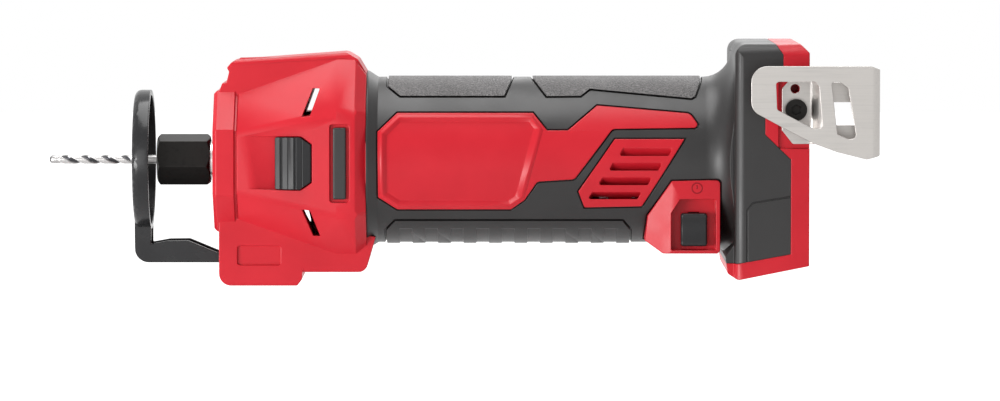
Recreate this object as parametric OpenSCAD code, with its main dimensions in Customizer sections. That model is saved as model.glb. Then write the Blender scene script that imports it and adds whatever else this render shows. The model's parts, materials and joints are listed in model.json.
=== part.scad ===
// Cordless drywall cut out tool with a sliding depth guide, a collet spindle and a side belt clip.
// Millimetres. The spindle turns about X, +X runs from the cutting bit to the battery foot, +Z is up,
// and the side that carries the power switch and the belt clip faces -Y.
// The origin is where the spindle axis crosses the working face of the depth guide.

/* [Depth guide] */
// Working face of the guide plate to the front of the head
guide_reach = 28.5; // [24:0.5:32]
// Outside diameter of the round guide plate
plate_d = 49.5; // [46:0.5:52]
// Opening in the guide plate
plate_bore = 30; // [26:0.5:34]
// Depth of the plate's turned-back rim
plate_depth = 5.8; // [4.5:0.1:7]
// Thickness of the guide's sheet steel
guide_t = 1.8; // [1.4:0.1:2.2]
// Underside of the guide arm to the underside of the head
keel_floor = 7.7; // [7:0.1:8.4]
// Width of the guide arm
arm_w = 15; // [12:0.5:16]
// Height of the arm where it slides in the head
arm_h = 3.6; // [3:0.1:4.2]
// Rear end of the guide arm to the rear of the head
arm_clear = 24; // [23:0.5:28]
// How far the guide slides forward from rest
guide_out = 8; // [4:1:10]
// How far the guide slides back from rest
guide_in = 12; // [6:1:14]

/* [Bit and collet] */
// Diameter of the cutting bit's shank
bit_d = 3.175; // [3:0.025:3.6]
// Reach of the bit past the guide's working face
bit_out = 30.5; // [25:0.5:36]
// Length of the bit's shank behind the working face
bit_shank = 31; // [27:0.5:33]
// Length of the plain guide point at the bit's tip
point_len = 3.4; // [2:0.1:5]
// Length of the spiral flutes
flute_len = 27; // [20:1:34]
// Length of one turn of a flute
flute_pitch = 14.2; // [10:0.1:18]
// Collet nut, across the flats
nut_af = 16.2; // [15:0.1:18]
// Length of the collet nut
nut_len = 18.9; // [17:0.1:21]
// Gap between the collet nut and the head
nut_gap = 1.8; // [1.2:0.1:2.6]
// Diameter of the spindle's neck behind the nut
neck_d = 13; // [12.6:0.1:13.6]
// Thread diameter on the spindle's nose
thread_d = 12; // [11:0.1:12.4]
// Wall of the collet round the bit
collet_wall = 2.4; // [2:0.1:2.6]

/* [Head] */
// Length of the head
head_len = 54; // [52:0.5:58]
// Height of the collar at the front of the head
collar_d = 50; // [48:0.5:52]
// Length of that collar
collar_len = 7.6; // [6.5:0.1:9]
// Half width over the side facets, front of the flare
side_front = 26.7; // [26:0.1:28]
// Height of the side facets over the handle, rear of the flare
side_proud = 1.6; // [1.2:0.1:3]
// Axis to the slanted facets, front of the flare
slant_front = 26.2; // [25:0.1:27.5]
// Height of the slanted facets over the handle, rear of the flare
slant_proud = 5.5; // [4.6:0.1:6.6]
// End of the flare to the rear of the head
flare_back = 10.5; // [9:0.1:12]
// Width of the ridge on top of the head
crest_w = 26.8; // [25:0.2:28]
// Width of the ridge under the head
ridge_w = 33.4; // [32:0.2:35]
// Height of the top ridge over the handle
crest_proud = 9; // [8.2:0.1:10.6]
// Depth of the bottom ridge under the handle
keel_drop = 14.6; // [14:0.1:16]
// Slope of the top ridge, degrees
ridge_slope = 3.8; // [2:0.1:5]
// Thickness of the moulded walls
wall = 2.4; // [2:0.1:2.8]

/* [Handle] */
// Diameter of the handle over the soft grip
handle_d = 58.8; // [58:0.1:60]
// Rear of the head to the front of the battery foot
handle_len = 129.2; // [128:0.2:136]
// Thickness of the soft grip
grip_t = 2; // [1.6:0.1:2.2]
// Height of the red panels over the grip
panel_raise = 0.4; // [0.2:0.1:0.8]
// Count of the ribs under the handle
rib_count = 10; // [4:1:11]
// Plain grip left before and behind the ribs, together
rib_clear = 47.8; // [46:0.1:56]

/* [Battery foot] */
// Width of the battery foot
foot_w = 75; // [73:0.5:79]
// Length of the battery foot
foot_len = 26; // [25.5:0.1:30]
// Height of the foot over the handle
foot_rise = 12.6; // [12:0.1:16]
// Depth of the foot under the handle
foot_drop = 11.2; // [10.6:0.1:14]
// Radius of the sweep from the handle up to the foot
foot_sweep = 10; // [9:0.1:11]
// Width of the battery slot behind its rails
bay_w = 58; // [56:0.5:60]
// Width of the mouth between the rails
bay_mouth = 50; // [48:0.5:52]
// Thickness of the battery rails
rail_t = 8; // [6:0.1:9]

/* [Belt clip] */
// Thickness of the clip's steel
clip_t = 1.5; // [1.2:0.1:1.6]
// Clear gap between the foot and the clip's outer leg
clip_gap = 12; // [10:0.5:14]
// Reach of the clip behind the foot
clip_reach = 23.8; // [22:0.1:26]
// Inside radius of the clip's bends
clip_bend = 1.4; // [1.2:0.1:1.6]

/* [Motor] */
// Air gap round the motor can
can_gap = 2; // [1.8:0.1:3]
// Wall of the motor can
can_t = 2; // [1.6:0.1:2.2]
// Length of handle kept for the brushes, the rear bearing and the circuit board
rear_room = 71.2; // [70:0.1:74]
// Thickness of the motor magnets
magnet_t = 4.4; // [4:0.1:5.4]
// Room for the windings at each end of the rotor core
end_room = 9; // [8.6:0.1:11]
// Count of the rotor's teeth
rotor_teeth = 12; // [8:1:14]
// Gap round the cooling fan
fan_gap = 1.4; // [1.2:0.1:3.4]
// Count of the fan's blades
fan_blades = 13; // [9:1:16]
// Diameter of the commutator
commutator_d = 18; // [16:0.2:20]
// Travel of the spindle lock
lock_travel = 5.5; // [4.5:0.1:5.6]
// Travel of the power switch
switch_travel = 4; // [3:0.1:4.4]

/* [Fits] */
// Gap at faces that slide on each other
slide_gap = 0.3; // [0.2:0.05:0.4]
// Gap round turning and seated parts
run_gap = 0.05; // [0.03:0.01:0.08]

/* [Hidden] */
$fn = 64;

far = 200;
cut = 1;
arc_step = 12;

red = [0.80, 0.08, 0.10];
black = [0.13, 0.13, 0.14];
steel = [0.72, 0.72, 0.73];
brass = [0.80, 0.62, 0.30];
copper = [0.75, 0.42, 0.24];

head_x = guide_reach;
head_rear = head_x + head_len;
foot_x = head_rear + handle_len;
rear_x = foot_x + foot_len;

// Handle
handle_r = handle_d / 2;
core_r = handle_r - grip_t;
cavity_r = core_r - wall;

// Head
side_rear = handle_r + side_proud;
slant_rear = handle_r + slant_proud;
ridge_top = handle_r + crest_proud;
ridge_bottom = handle_r + keel_drop;
flare_end = head_len - flare_back;
collar_r = collar_d / 2;
groove_w = 1;
flare_x = head_x + collar_len + groove_w;
flare_top = handle_r + 6.8;
shoulder_len = 3.8;
shoulder_drop = 2.2;
soft_edge = 0.6;
crest_half = crest_w / 2;
ridge_half = ridge_w / 2;
ridge_edge = 2;
ridge_step = 4.8;

// Foot
foot_top = handle_r + foot_rise;
foot_bottom = handle_r + foot_drop;
foot_half = foot_w / 2;
foot_corner = 5;
bay_x = foot_x + 9;
bay_top = foot_top - 9;
rail_x = rear_x - rail_t;

// Spindle, from the nut back to the lock
nut_x0 = head_x - nut_gap - nut_len;
nut_x1 = head_x - nut_gap;
thread_r = thread_d / 2;
collet_r = bit_d / 2 + collet_wall;
nose_x = nut_x0 + 4.6;
collet_end = head_x - 4;
shaft_r = 5;
seal_x = head_x + 1.2;
seal_w = 2.4;
bearing_x = head_x + 3.7;
bearing_d = 26;
bearing_w = 8;
lock_x = bearing_x + bearing_w + 0.0704 * head_len;
lock_len = 7.5;
lock_r = 11.5;
lock_slots = 6;
lock_slot_w = 4.4;
lock_slot_depth = 5.6;
chamber_r = 22;
fan_x = head_rear - 14;
fan_len = 9.5;
fan_room_r = core_r;
baffle_x = head_rear - 3.4;

// Motor, from the can back to the rear bearing
can_r = cavity_r - can_gap;
can_len = handle_len - rear_room;
can_x = head_rear + 5;
can_end = can_x + can_len;
magnet_gap = 0.6;
rotor_d = 2 * (can_r - can_t - magnet_t - magnet_gap);
rotor_len = can_len - 2 * end_room;
core_x = can_x + end_room;
core_end = core_x + rotor_len;
winding_len = 6.5;
comm_x = can_end + 4;
comm_len = 12;
holder_x = can_end + 1;
holder_len = 18;
rear_shaft_r = 3.5;
rear_bearing_x = holder_x + holder_len + 4.5;
rear_bearing_d = 19;
rear_bearing_w = 6;
boot_t = 2;
bulkhead_x = rear_bearing_x - 1;
bulkhead_len = rear_bearing_w + 2;

// Guide arm and its clamp
arm_half = arm_w / 2;
arm_drop = ridge_bottom - keel_floor;
arm_end = head_rear - arm_clear;
slot_top = arm_drop - 8.4;
slot_end = arm_end + guide_in + 1;
lever_x = head_x + 11;
lever_y = ridge_half - 2.7;
lever_z0 = -arm_drop - 2.2;
lever_h = 6.4;
lever_r = 2.9;
lever_len = 19;
pin_r = 1.5;
pin_z0 = -ridge_bottom + 2;
pin_len = 13.5;
nose_r = lever_y - arm_half - slide_gap;

// Spindle lock, in the left side facet
lock_floor = side_front - 0.8;
thumb_x = head_x + 0.4093 * head_len;
thumb_len = 12.7;
thumb_half = 9.1;
thumb_cut = [3.9, 2.7];
stem_x = thumb_x + 6.8;
stem_len = 4.2;
stem_half = 2.4;
dog_y = 8.1;
dog_t = 2.8;
dog_half = 1.9;
dog_x = lock_x + lock_len + 1.2;

// Power switch pod, under the rear of the handle
pod_y = handle_r - 0.4;
pod_z = -handle_r - 2.4;
pocket_floor = pod_y - 4.5;
button_x = foot_x - 18.6;
button_w = 9.3;
button_z = -handle_r + 0.2;
button_h = 11.6;
switch_stem = 3.4;
module_y = pocket_floor - wall;

// Housing screws: place along X, height, all driven from the right
screw_r = 1.5;
screw_head_r = 2.9;
screw_head_h = 2.2;
screw_seat = 8;
screw_len = 18;
boss_r = 3.4;
screw_places = [
    [head_x + 0.3426 * head_len, ridge_top - 7.4],
    [head_rear - 8, ridge_top - 5.2],
    [head_x + 6, -20.5],
    [head_rear - 6.5, -ridge_bottom + 9.6],
    [rear_bearing_x + 11.5, cavity_r - 5],
    [rear_bearing_x + 11.5, -cavity_r + 5],
    [foot_x + 5, foot_top - 4.6],
    [foot_x + 4, -foot_bottom + 4.7]
];

// Belt clip and its fastening, the same on both sides of the foot
clip_x = rear_x - 4.8;
clip_z = 19.2;
clip_seat = foot_half - 1.2;
clip_screw_r = 2;
insert_r = 3;
insert_len = 8;

function unit(v) = v / norm(v);

// Points round one corner p between a and b, with radius r
function corner(a, p, b, r) =
    let (u = unit(a - p))
    let (v = unit(b - p))
    let (half = acos(u * v) / 2)
    let (c = p + unit(u + v) * r / sin(half))
    let (s = p + u * r / tan(half) - c)
    let (e = p + v * r / tan(half) - c)
    let (from = atan2(s.y, s.x))
    let (turn = (atan2(e.y, e.x) - from + 540) % 360 - 180)
    let (n = max(2, ceil(abs(turn) / arc_step)))
    [for (i = [0:n]) c + r * [cos(from + turn * i / n), sin(from + turn * i / n)]];

// Closed outline from points [x, y] or, for a rounded corner, [x, y, radius]
function outline(pts) =
    let (n = len(pts))
    [for (i = [0:n - 1])
        let (a = pts[(i + n - 1) % n])
        let (p = pts[i])
        let (b = pts[(i + 1) % n])
        each (len(p) > 2 ? corner([a.x, a.y], [p.x, p.y], [b.x, b.y], p[2]) : [p])];

// Outline moved out by d along its edges' normals, or in where d is negative
function grow(pts, d) =
    let (n = len(pts))
    let (area = [for (i = [0:n - 1]) pts[i].x * pts[(i + 1) % n].y - pts[(i + 1) % n].x * pts[i].y] * [for (i = pts) 1])
    let (turn = area > 0 ? 1 : -1)
    [for (i = [0:n - 1])
        let (p = [pts[i].x, pts[i].y])
        let (a = pts[(i + n - 1) % n])
        let (b = pts[(i + 1) % n])
        let (u = unit(p - [a.x, a.y]))
        let (v = unit([b.x, b.y] - p))
        let (m = turn * [u.y, -u.x])
        let (k = turn * [v.y, -v.x])
        let (q = p + d * (m + k) / (1 + m * k))
        len(pts[i]) > 2 ? [q.x, q.y, pts[i][2]] : q];

// Points moved along X
function from_x(x, pts) = [for (p = pts) len(p) > 2 ? [x + p.x, p.y, p[2]] : [x + p.x, p.y]];

// Outline in the XZ plane, extruded along Y
module side(pts, y0 = -far, y1 = far) {
    translate([0, y1, 0])
        rotate([90, 0, 0])
            linear_extrude(y1 - y0)
                polygon(outline(pts));
}

// Outline in the XY plane, extruded along Z
module plan(pts, z0 = -far, z1 = far) {
    translate([0, 0, z0])
        linear_extrude(z1 - z0)
            polygon(outline(pts));
}

// Outline in the YZ plane, extruded along X
module across(pts, x0, x1) {
    translate([x0, 0, 0])
        rotate([90, 0, 90])
            linear_extrude(x1 - x0)
                polygon(outline(pts));
}

// Profile of points [x, radius] turned round the spindle axis
module revolve(profile) {
    rotate([0, 90, 0])
        rotate_extrude()
            polygon([for (p = profile) [p[1], p[0]]]);
}

module rod(x0, x1, r) {
    translate([x0, 0, 0])
        rotate([0, 90, 0])
            cylinder(h = x1 - x0, r = r);
}

module ring(x0, x1, r_out, r_in) {
    difference() {
        rod(x0, x1, r_out);
        rod(x0 - cut, x1 + cut, r_in);
    }
}

// Cylinder along Y from y0 to y1
module pin_y(x, z, y0, y1, r) {
    translate([x, y1, z])
        rotate([90, 0, 0])
            cylinder(h = y1 - y0, r = r);
}

module box(x0, x1, y0, y1, z0, z1) {
    translate([x0, y0, z0])
        cube([x1 - x0, y1 - y0, z1 - z0]);
}

// Keeps one side of the tool: -1 left, 1 right
module half(s) {
    intersection() {
        children();
        translate([-far, s < 0 ? -far : 0, -far])
            cube([4 * far, far, 2 * far]);
    }
}

// Faceted head: flat sides, slanted facets, shoulder at the rear
function flare_half(front, rear, later = 0) = [
    [flare_x, -front], [flare_x, front],
    [head_x + flare_end + later, rear], [head_rear - shoulder_len + later, rear], [head_rear, rear - shoulder_drop],
    [head_rear, -rear + shoulder_drop], [head_rear - shoulder_len + later, -rear], [head_x + flare_end + later, -rear]
];

// Axis to the narrow facet that softens the edge between a facet at a and the next one at b, 45 degrees round
function between(a, b) = a * cos(22.5) + (b * sqrt(2) - a) * sin(22.5) - soft_edge;

module flare() {
    intersection() {
        plan(flare_half(side_front, side_rear));
        rotate([45, 0, 0])
            side(flare_half(slant_front, slant_rear));
        rotate([-45, 0, 0])
            side(flare_half(slant_front, slant_rear));
        rotate([67.5, 0, 0])
            side(flare_half(between(side_front, slant_front), between(side_rear, slant_rear), soft_edge));
        rotate([-67.5, 0, 0])
            side(flare_half(between(side_front, slant_front), between(side_rear, slant_rear), soft_edge));
        side([
            [flare_x, -flare_top], [flare_x, flare_top], [head_rear - shoulder_len - 0.5, flare_top], [head_rear, side_rear - 0.5],
            [head_rear, -side_rear + 0.5], [head_rear - shoulder_len - 0.5, -flare_top]
        ]);
    }
}

// Collar ahead of the flare: eight facets, a chamfered front edge and a groove behind
function collar_half(r) =
    let (chamfer = 1.2)
    let (end = head_x + collar_len)
    [[head_x, r - chamfer], [head_x + chamfer, r], [end, r], [end, -r], [head_x + chamfer, -r], [head_x, -r + chamfer]];

// Section through the groove: flats at w to the sides and at h above and below, slanted facets at d
function groove_section(w, h, d) =
    let (s = d * sqrt(2))
    [
        [-w, s - w], [h - s, h], [s - h, h], [w, s - w], [w, w - s], [s - h, -h], [h - s, -h], [-w, w - s]
    ];

module collar() {
    flat = side_front - 0.4;
    slant = slant_front + 0.6;
    intersection() {
        plan(collar_half(flat));
        side(collar_half(collar_r));
        rotate([45, 0, 0])
            side(collar_half(slant));
        rotate([-45, 0, 0])
            side(collar_half(slant));
    }
    across(groove_section(flat - 1, collar_r - 1, slant - 1), head_x + collar_len - cut, flare_x + cut);
}

// Ridge on top of the head, with the lamp's window in its front end
module top_ridge() {
    tail = head_len - 4;
    intersection() {
        side(from_x(head_x, [
            [2.1, 18], [2.1, lens_z - 2.2], [3, lens_z], [4.4, lens_z], [5.4, lens_z + lens_h],
            [4.6, ridge_top - 5.4, 0.6], [6.6, ridge_top - 3, 3], [tail - 3, ridge_top, 3],
            [tail + 1, ridge_top - 2.4, 2], [head_len, side_rear], [head_len, 18]
        ]), -crest_half, crest_half);
        translate([head_x + tail - 3, 0, ridge_top])
            rotate([0, -ridge_slope, 0])
                across([
                    [-crest_half, -far / 4], [-crest_half, 0, ridge_edge],
                    [crest_half, 0, ridge_edge], [crest_half, -far / 4]
                ], -head_len * 1.5, head_len);
    }
}

// Ridge under the head that the guide arm slides in
module bottom_ridge() {
    shallow = ridge_bottom - ridge_step;
    edge = 1.4;
    intersection() {
        side(from_x(head_x, [
            [1.8, -18], [1.8, -ridge_bottom, 4.4], [head_len - 24.6, -ridge_bottom, 1],
            [head_len - 21, -shallow, 1], [head_len - 0.4, -shallow, 3.6],
            [head_len + 3.2, -handle_r + 2.8], [head_len, -handle_r + 3.4], [head_len - 6, -18]
        ]), -ridge_half, ridge_half);
        union() {
            across([
                [-ridge_half, -ridge_bottom, edge], [-ridge_half, 0], [ridge_half, 0], [ridge_half, -ridge_bottom, edge]
            ], head_x, head_rear - 22.8);
            across([
                [-ridge_half, -shallow, edge], [-ridge_half, 0], [ridge_half, 0], [ridge_half, -shallow, edge]
            ], head_rear - 22.8, head_rear + 4);
        }
    }
}

module head_outer() {
    collar();
    flare();
    top_ridge();
    bottom_ridge();
}

// Side outline of the battery foot, drawn in by t
function foot_side(t) = from_x(foot_x, [
    [t, -foot_bottom + 12.6], [t, foot_top - t, 4.3], [foot_len - 3, foot_top - t], [foot_len, foot_top - 3 - t],
    [foot_len, -foot_bottom + 5 + t], [1 + t, -foot_bottom + t, 2.4], [-2.4 + t, -foot_bottom + 2.2 + t, 1.2],
    [-3.2 + t, -foot_bottom + 8]
]);

// Handle barrel with its swept ends, and the foot, drawn in by t
module barrel(t) {
    lip = 2.2;
    steps = 8;
    r = handle_r - t;
    sweep = foot_sweep;
    wide = foot_half - t;
    edge = 3.5;
    intersection() {
        union() {
            revolve(concat(
                [[head_rear, 0], [head_rear, r + lip], [head_rear + 0.6, r + lip], [head_rear + 4, r]],
                [for (i = [0:steps]) [
                    foot_x + t - sweep + sweep * sin(90 * i / steps),
                    r + sweep - sweep * cos(90 * i / steps)
                ]],
                [[foot_x + t + 2, r + sweep], [foot_x + t + 2, 0]]
            ));
            side(foot_side(t));
        }
        across([
            [-foot_half + t, -far, 0.1], [-foot_half + t, foot_top - t, foot_corner],
            [foot_half - t, foot_top - t, foot_corner], [foot_half - t, -far, 0.1]
        ], 0, 2 * far);
        plan([
            [0, -wide + edge], [foot_x + t - 0.2, -wide + edge], [foot_x + t - 0.2, -wide, edge - 0.1], [rear_x, -wide],
            [rear_x, wide], [foot_x + t - 0.2, wide, edge - 0.1], [foot_x + t - 0.2, wide - edge], [0, wide - edge]
        ]);
    }
}

// Red panel with its arm along the handle
function panel_outline() = concat(
    from_x(head_rear, [[4.3, -12], [4.1, 11], [11, 17.5]]),
    from_x(foot_x, [
        [-70.5, 17.5], [-65.6, 11.5], [-58.2, 11.5], [-47.9, 20], [-15.3, 17.3, 3], [-12.4, 13.3, 1],
        [-13.7, 12.4], [-42.6, 12, 2], [-56, -5.6, 2], [-69, -6.4, 2], [-73.5, -13], [-78.2, -16.4]
    ]),
    from_x(head_rear, [[11, -16.4]])
);

module panel_window() {
    side(panel_outline());
}

// Plain sunk field inside the red panel
module label_field() {
    rim = 0.9;
    side(grow(concat(
        from_x(head_rear, [[4.3, -12], [4.1, 11], [11, 17.5]]),
        from_x(foot_x, [[-70.5, 17.5], [-66.2, 12], [-73, -12.8], [-78.2, -16.4]]),
        from_x(head_rear, [[11, -16.4]])
    ), -rim));
}

function vent_outline() = from_x(foot_x, [[-41.8, 8.5], [-17.4, 8.5], [-32.3, -15.3], [-52.4, -15.7], [-54.6, -9.9]]);

module vent_window() {
    side(vent_outline());
}

// Air slots in the vent panel, dropping inwards so that no straight way leads in
module vent_slots() {
    slots = 4;
    long = 17.4;
    drop = 42;
    tall = 2.7 * cos(drop);
    lean = 1.7;
    r = handle_r + panel_raise;
    for (i = [0:slots - 1])
        for (s = [-1, 1]) {
            z = 4.2 - 5.17 * i;
            translate([foot_x - 30.9 - 3.63 * i, s * sqrt(r * r - z * z), z])
                rotate([s * (drop + asin(z / r)), 0, 0])
                    side([
                        [-(long - lean) / 2, tall / 2, 0.5], [(long + lean) / 2, tall / 2, 0.5],
                        [(long - lean) / 2, -tall / 2, 0.5], [-(long + lean) / 2, -tall / 2, 0.5]
                    ], s < 0 ? -4 : -12, s < 0 ? 12 : 4);
        }
}

// Outline of the switch pod
function pod_outline() = from_x(foot_x, [
    [-21.8, -6.2], [-4.8, -5.8, 1.5], [-4.8, pod_z, 1.5], [-24.9, pod_z], [-31.2, -27.4], [-30.2, -18.6]
]);

module pod_window() {
    side(pod_outline());
}

module pod() {
    intersection() {
        pod_window();
        plan(from_x(foot_x, [
            [-33, -pod_y + 6], [-22, -pod_y], [0, -pod_y], [0, pod_y], [-22, pod_y], [-33, pod_y - 6]
        ]));
        across([
            [-pod_y, pod_z, 1], [-pod_y, 0], [pod_y, 0], [pod_y, pod_z, 1]
        ], foot_x - 40, foot_x);
    }
}

// What the soft grip leaves open to the red housing
module grip_windows() {
    panel_window();
    vent_window();
    pod_window();
}

// Side view area that the soft grip covers
module grip_area() {
    side(concat(
        [[head_rear, -handle_r - 5.2], [head_rear, far / 2]],
        from_x(foot_x, [
            [14.3, far / 2], [14.3, foot_top], [16.8, foot_top - 3.6], [16.8, foot_top - 11], [10.5, foot_top - 12.4],
            [10.5, 10.5], [19.5, 1.8], [19.5, -foot_bottom + 9.2], [1, -foot_bottom + 5.8]
        ])
    ));
}

// Open space inside both halves
module cavity() {
    revolve([
        [head_x - cut, 0], [head_x - cut, neck_d / 2 + 0.5], [seal_x, neck_d / 2 + 0.5],
        [seal_x, neck_d / 2 + 3.5], [bearing_x, neck_d / 2 + 3.5],
        [bearing_x, bearing_d / 2 + run_gap], [bearing_x + bearing_w + run_gap, bearing_d / 2 + run_gap],
        [bearing_x + bearing_w + run_gap, bearing_d / 2 - 2], [lock_x - 1.5, bearing_d / 2 - 2],
        [lock_x - 1.5, chamber_r], [fan_x - 6, chamber_r], [fan_x - 1, fan_room_r],
        [baffle_x, fan_room_r], [baffle_x, can_r - 3.5], [baffle_x + 2.4, can_r - 3.5],
        [baffle_x + 2.4, cavity_r], [bulkhead_x, cavity_r],
        [bulkhead_x, rear_shaft_r + 1.5], [rear_bearing_x - run_gap, rear_shaft_r + 1.5],
        [rear_bearing_x - run_gap, rear_bearing_d / 2 + boot_t + run_gap],
        [bulkhead_x + bulkhead_len, rear_bearing_d / 2 + boot_t + run_gap],
        [bulkhead_x + bulkhead_len, cavity_r], [foot_x + 5, cavity_r], [foot_x + 5, 0]
    ]);
    // room for the switch behind its pocket
    box(foot_x - 24, foot_x - 7, -module_y, module_y, pod_z + wall, -8);
}

// Rings that hold the motor can and the brush holder
module motor_ribs() {
    rib = 2.6;
    for (x = [can_x + 3, can_x + can_len / 2, can_end - 6, holder_x + holder_len - 5])
        ring(x, x + rib, cavity_r + wall / 2, can_r + run_gap);
}

// Round air ways through the rear bulkhead
module bulkhead_ways() {
    ways = 8;
    for (i = [0:ways - 1])
        rotate([360 / ways * (i + 0.5), 0, 0])
            translate([bulkhead_x - cut, 0, (rear_bearing_d / 2 + boot_t + cavity_r) / 2 + 0.4])
                rotate([0, 90, 0])
                    cylinder(h = bulkhead_len + 2 * cut, r = 3.6);
}

// Air slots in the slanted facets of the head, seen right through
module head_vents() {
    lead = 2.6;
    for (s = [-1, 1]) {
        slot = [[-22.4, s * 16.3], [-19.6, s * 16.6], [-16.3, s * 26], [-18.7, s * 26]];
        side(from_x(head_rear, slot), -far, 0);
        side(from_x(head_rear + (s < 0 ? -lead : 0), slot), 0, far);
    }
}

// Battery slot, open to the rear and to the bottom
module battery_bay() {
    box(bay_x, rail_x, -bay_w / 2, bay_w / 2, -far, bay_top);
    box(bay_x, rear_x + cut, -bay_mouth / 2, bay_mouth / 2, -far, bay_top);
}

block_x = foot_x + 3;
block_half = 14.8;
block_z0 = 8;
block_z1 = foot_top - 13;

// Way in the foot wall that the terminal block fills
module block_way() {
    box(block_x, bay_x + cut, -block_half - run_gap, block_half + run_gap, block_z0 - run_gap, block_z1 + run_gap);
}

// Channel for the guide arm
module arm_slot() {
    box(head_x - cut, slot_end, -arm_half - slide_gap, arm_half + slide_gap, -arm_drop - slide_gap, -slot_top);
}

lens_half = 6;
lens_h = 4;
lens_z = ridge_top - 10.8;
lens_back = head_x + 8.6;

// Side outline of the lamp's lens
function lens_side() = [
    [head_x + 4.4, lens_z], [head_x + 5.4, lens_z + lens_h], [lens_back, lens_z + lens_h], [lens_back, lens_z]
];

// Seat of the lens and room for the lamp board behind it
module lamp_room() {
    side(lens_side(), -lens_half, lens_half);
    box(lens_back, lens_back + 2.6, -lens_half, lens_half, lens_z - 1, lens_z + lens_h + 1);
}

pad_x = head_rear - 11.5;
pad_w = 4.6;
pad_half = 12.6;
pad_seat = side_rear - 1.6;

// Recess in the side of the head round its rubber pad
module pad_seat_cut(s) {
    grow = 1.1;
    side([
        [pad_x - grow, -pad_half - grow, 1], [pad_x - grow, pad_half + grow, 1],
        [pad_x + pad_w + grow, pad_half + grow, 1], [pad_x + pad_w + grow, -pad_half - grow, 1]
    ], s < 0 ? -far : pad_seat, s < 0 ? -pad_seat : far);
}

// Recess that the lock's thumb piece slides in, with the slot for its stem
module lock_recess() {
    x0 = thumb_x - lock_travel - slide_gap;
    x1 = thumb_x + thumb_len + slide_gap;
    ramp = 4.6;
    intersection() {
        plan([[x0 - ramp, -far], [x0 - ramp, -lock_floor - 1.5], [x0, -lock_floor], [x1, -lock_floor], [x1, -far]]);
        side([
            [x0 - ramp, -thumb_half - slide_gap], [x0 - ramp, thumb_half + slide_gap],
            [x1 - thumb_cut.x, thumb_half + slide_gap], [x1, thumb_half - thumb_cut.y + slide_gap],
            [x1, -thumb_half + thumb_cut.y - slide_gap], [x1 - thumb_cut.x, -thumb_half - slide_gap]
        ]);
    }
    box(stem_x - lock_travel - slide_gap, stem_x + stem_len + slide_gap, -lock_floor - cut, 0,
        -stem_half - slide_gap, stem_half + slide_gap);
}

// Pocket of the power switch and the slot for its stem
module switch_pocket() {
    top = button_z + button_h + switch_travel + 1;
    x0 = button_x - 3.4;
    x1 = button_x + button_w + 3;
    low = pod_z + 1.2;
    side([[x0, low, 0.8], [x0, top - 5], [x0 + 3.2, top], [x1, top, 0.8], [x1, low, 0.8]], -far, -pocket_floor);
    box(button_x + (button_w - switch_stem) / 2 - slide_gap, button_x + (button_w + switch_stem) / 2 + slide_gap,
        -pocket_floor - cut, -module_y + cut,
        button_z + button_h / 2 - switch_stem / 2 - slide_gap,
        button_z + button_h / 2 + switch_stem / 2 + switch_travel + slide_gap);
}

// Recess, pivot hole and cam window of the guide lever
module lever_recess() {
    side([
        [lever_x - 4.8, lever_z0 - slide_gap, 1], [lever_x - 4.8, lever_z0 + lever_h + slide_gap, 1],
        [lever_x + lever_len + 5, lever_z0 + lever_h + slide_gap, 1], [lever_x + lever_len + 5, lever_z0 - slide_gap, 1]
    ], lever_y - lever_r - slide_gap, far);
    translate([lever_x, lever_y, lever_z0 - slide_gap])
        cylinder(h = lever_h + 2 * slide_gap, r = nose_r + 0.5);
    translate([lever_x, lever_y, pin_z0])
        cylinder(h = pin_len, r = pin_r + run_gap);
}

// Seat of the belt clip on one side of the foot
module clip_seat_cut(s) {
    depth = s < 0 ? [-far, -clip_seat] : [clip_seat, far];
    side([
        [clip_x - 6, 5.6], [clip_x - 6, 31, 2], [rear_x + cut, 31], [rear_x + cut, 5.6]
    ], depth[0], depth[1]);
    pin_y(clip_x, clip_z, s < 0 ? -clip_seat - cut : clip_seat - insert_len, s < 0 ? -clip_seat + insert_len : clip_seat + cut,
        insert_r);
    // blind hole that locates the clip
    pin_y(clip_x - 0.3, clip_z + 7.3, s < 0 ? -clip_seat - cut : clip_seat - 7, s < 0 ? -clip_seat + 7 : clip_seat + cut, 1.4);
}

// Posts round the housing screws
module bosses(s) {
    for (p = screw_places)
        if (s < 0)
            pin_y(p.x, p.y, -screw_len + screw_seat - wall, 0, boss_r);
        else
            pin_y(p.x, p.y, 0, screw_seat + 3, boss_r + 1);
}

module screw_holes(s) {
    for (p = screw_places)
        if (s < 0)
            pin_y(p.x, p.y, -screw_len + screw_seat - run_gap, cut, screw_r + run_gap);
        else {
            pin_y(p.x, p.y, -cut, screw_seat + cut, screw_r + run_gap);
            pin_y(p.x, p.y, screw_seat, far, screw_head_r + run_gap);
        }
}

// Bosses stay inside the outer form
module inside() {
    intersection() {
        union() {
            head_outer();
            barrel(grip_t);
            pod();
        }
        children();
    }
}

board_x = foot_x - 24;
board_len = 26;
board_z = 2;
board_h = cavity_r - 5;
board_y = 9;
board_t = 1.6;

// Posts on the right half that carry the control board
module board_posts() {
    for (x = [board_x + 4, board_x + board_len - 4])
        pin_y(x, board_z + board_h / 2, board_y + board_t, cavity_r + 1, 2.4);
}

// Moulded shell before each half gets its own cuts
module shell() {
    difference() {
        union() {
            head_outer();
            barrel(grip_t);
            pod();
            difference() {
                barrel(0);
                grip_area();
            }
            intersection() {
                rod(head_rear + 3, foot_x - 8, handle_r + panel_raise);
                union() {
                    panel_window();
                    vent_window();
                }
            }
        }
        difference() {
            label_field();
            rod(head_rear, foot_x, handle_r - 0.6);
        }
        difference() {
            union() {
                cavity();
                bulkhead_ways();
            }
            motor_ribs();
        }
        vent_slots_outside();
        head_vents();
        battery_bay();
        block_way();
        arm_slot();
        lamp_room();
    }
}

// The air slots stop at the middle of the handle's cavity
module vent_slots_outside() {
    difference() {
        vent_slots();
        rod(head_rear, foot_x, cavity_r - 1);
    }
}

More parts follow.
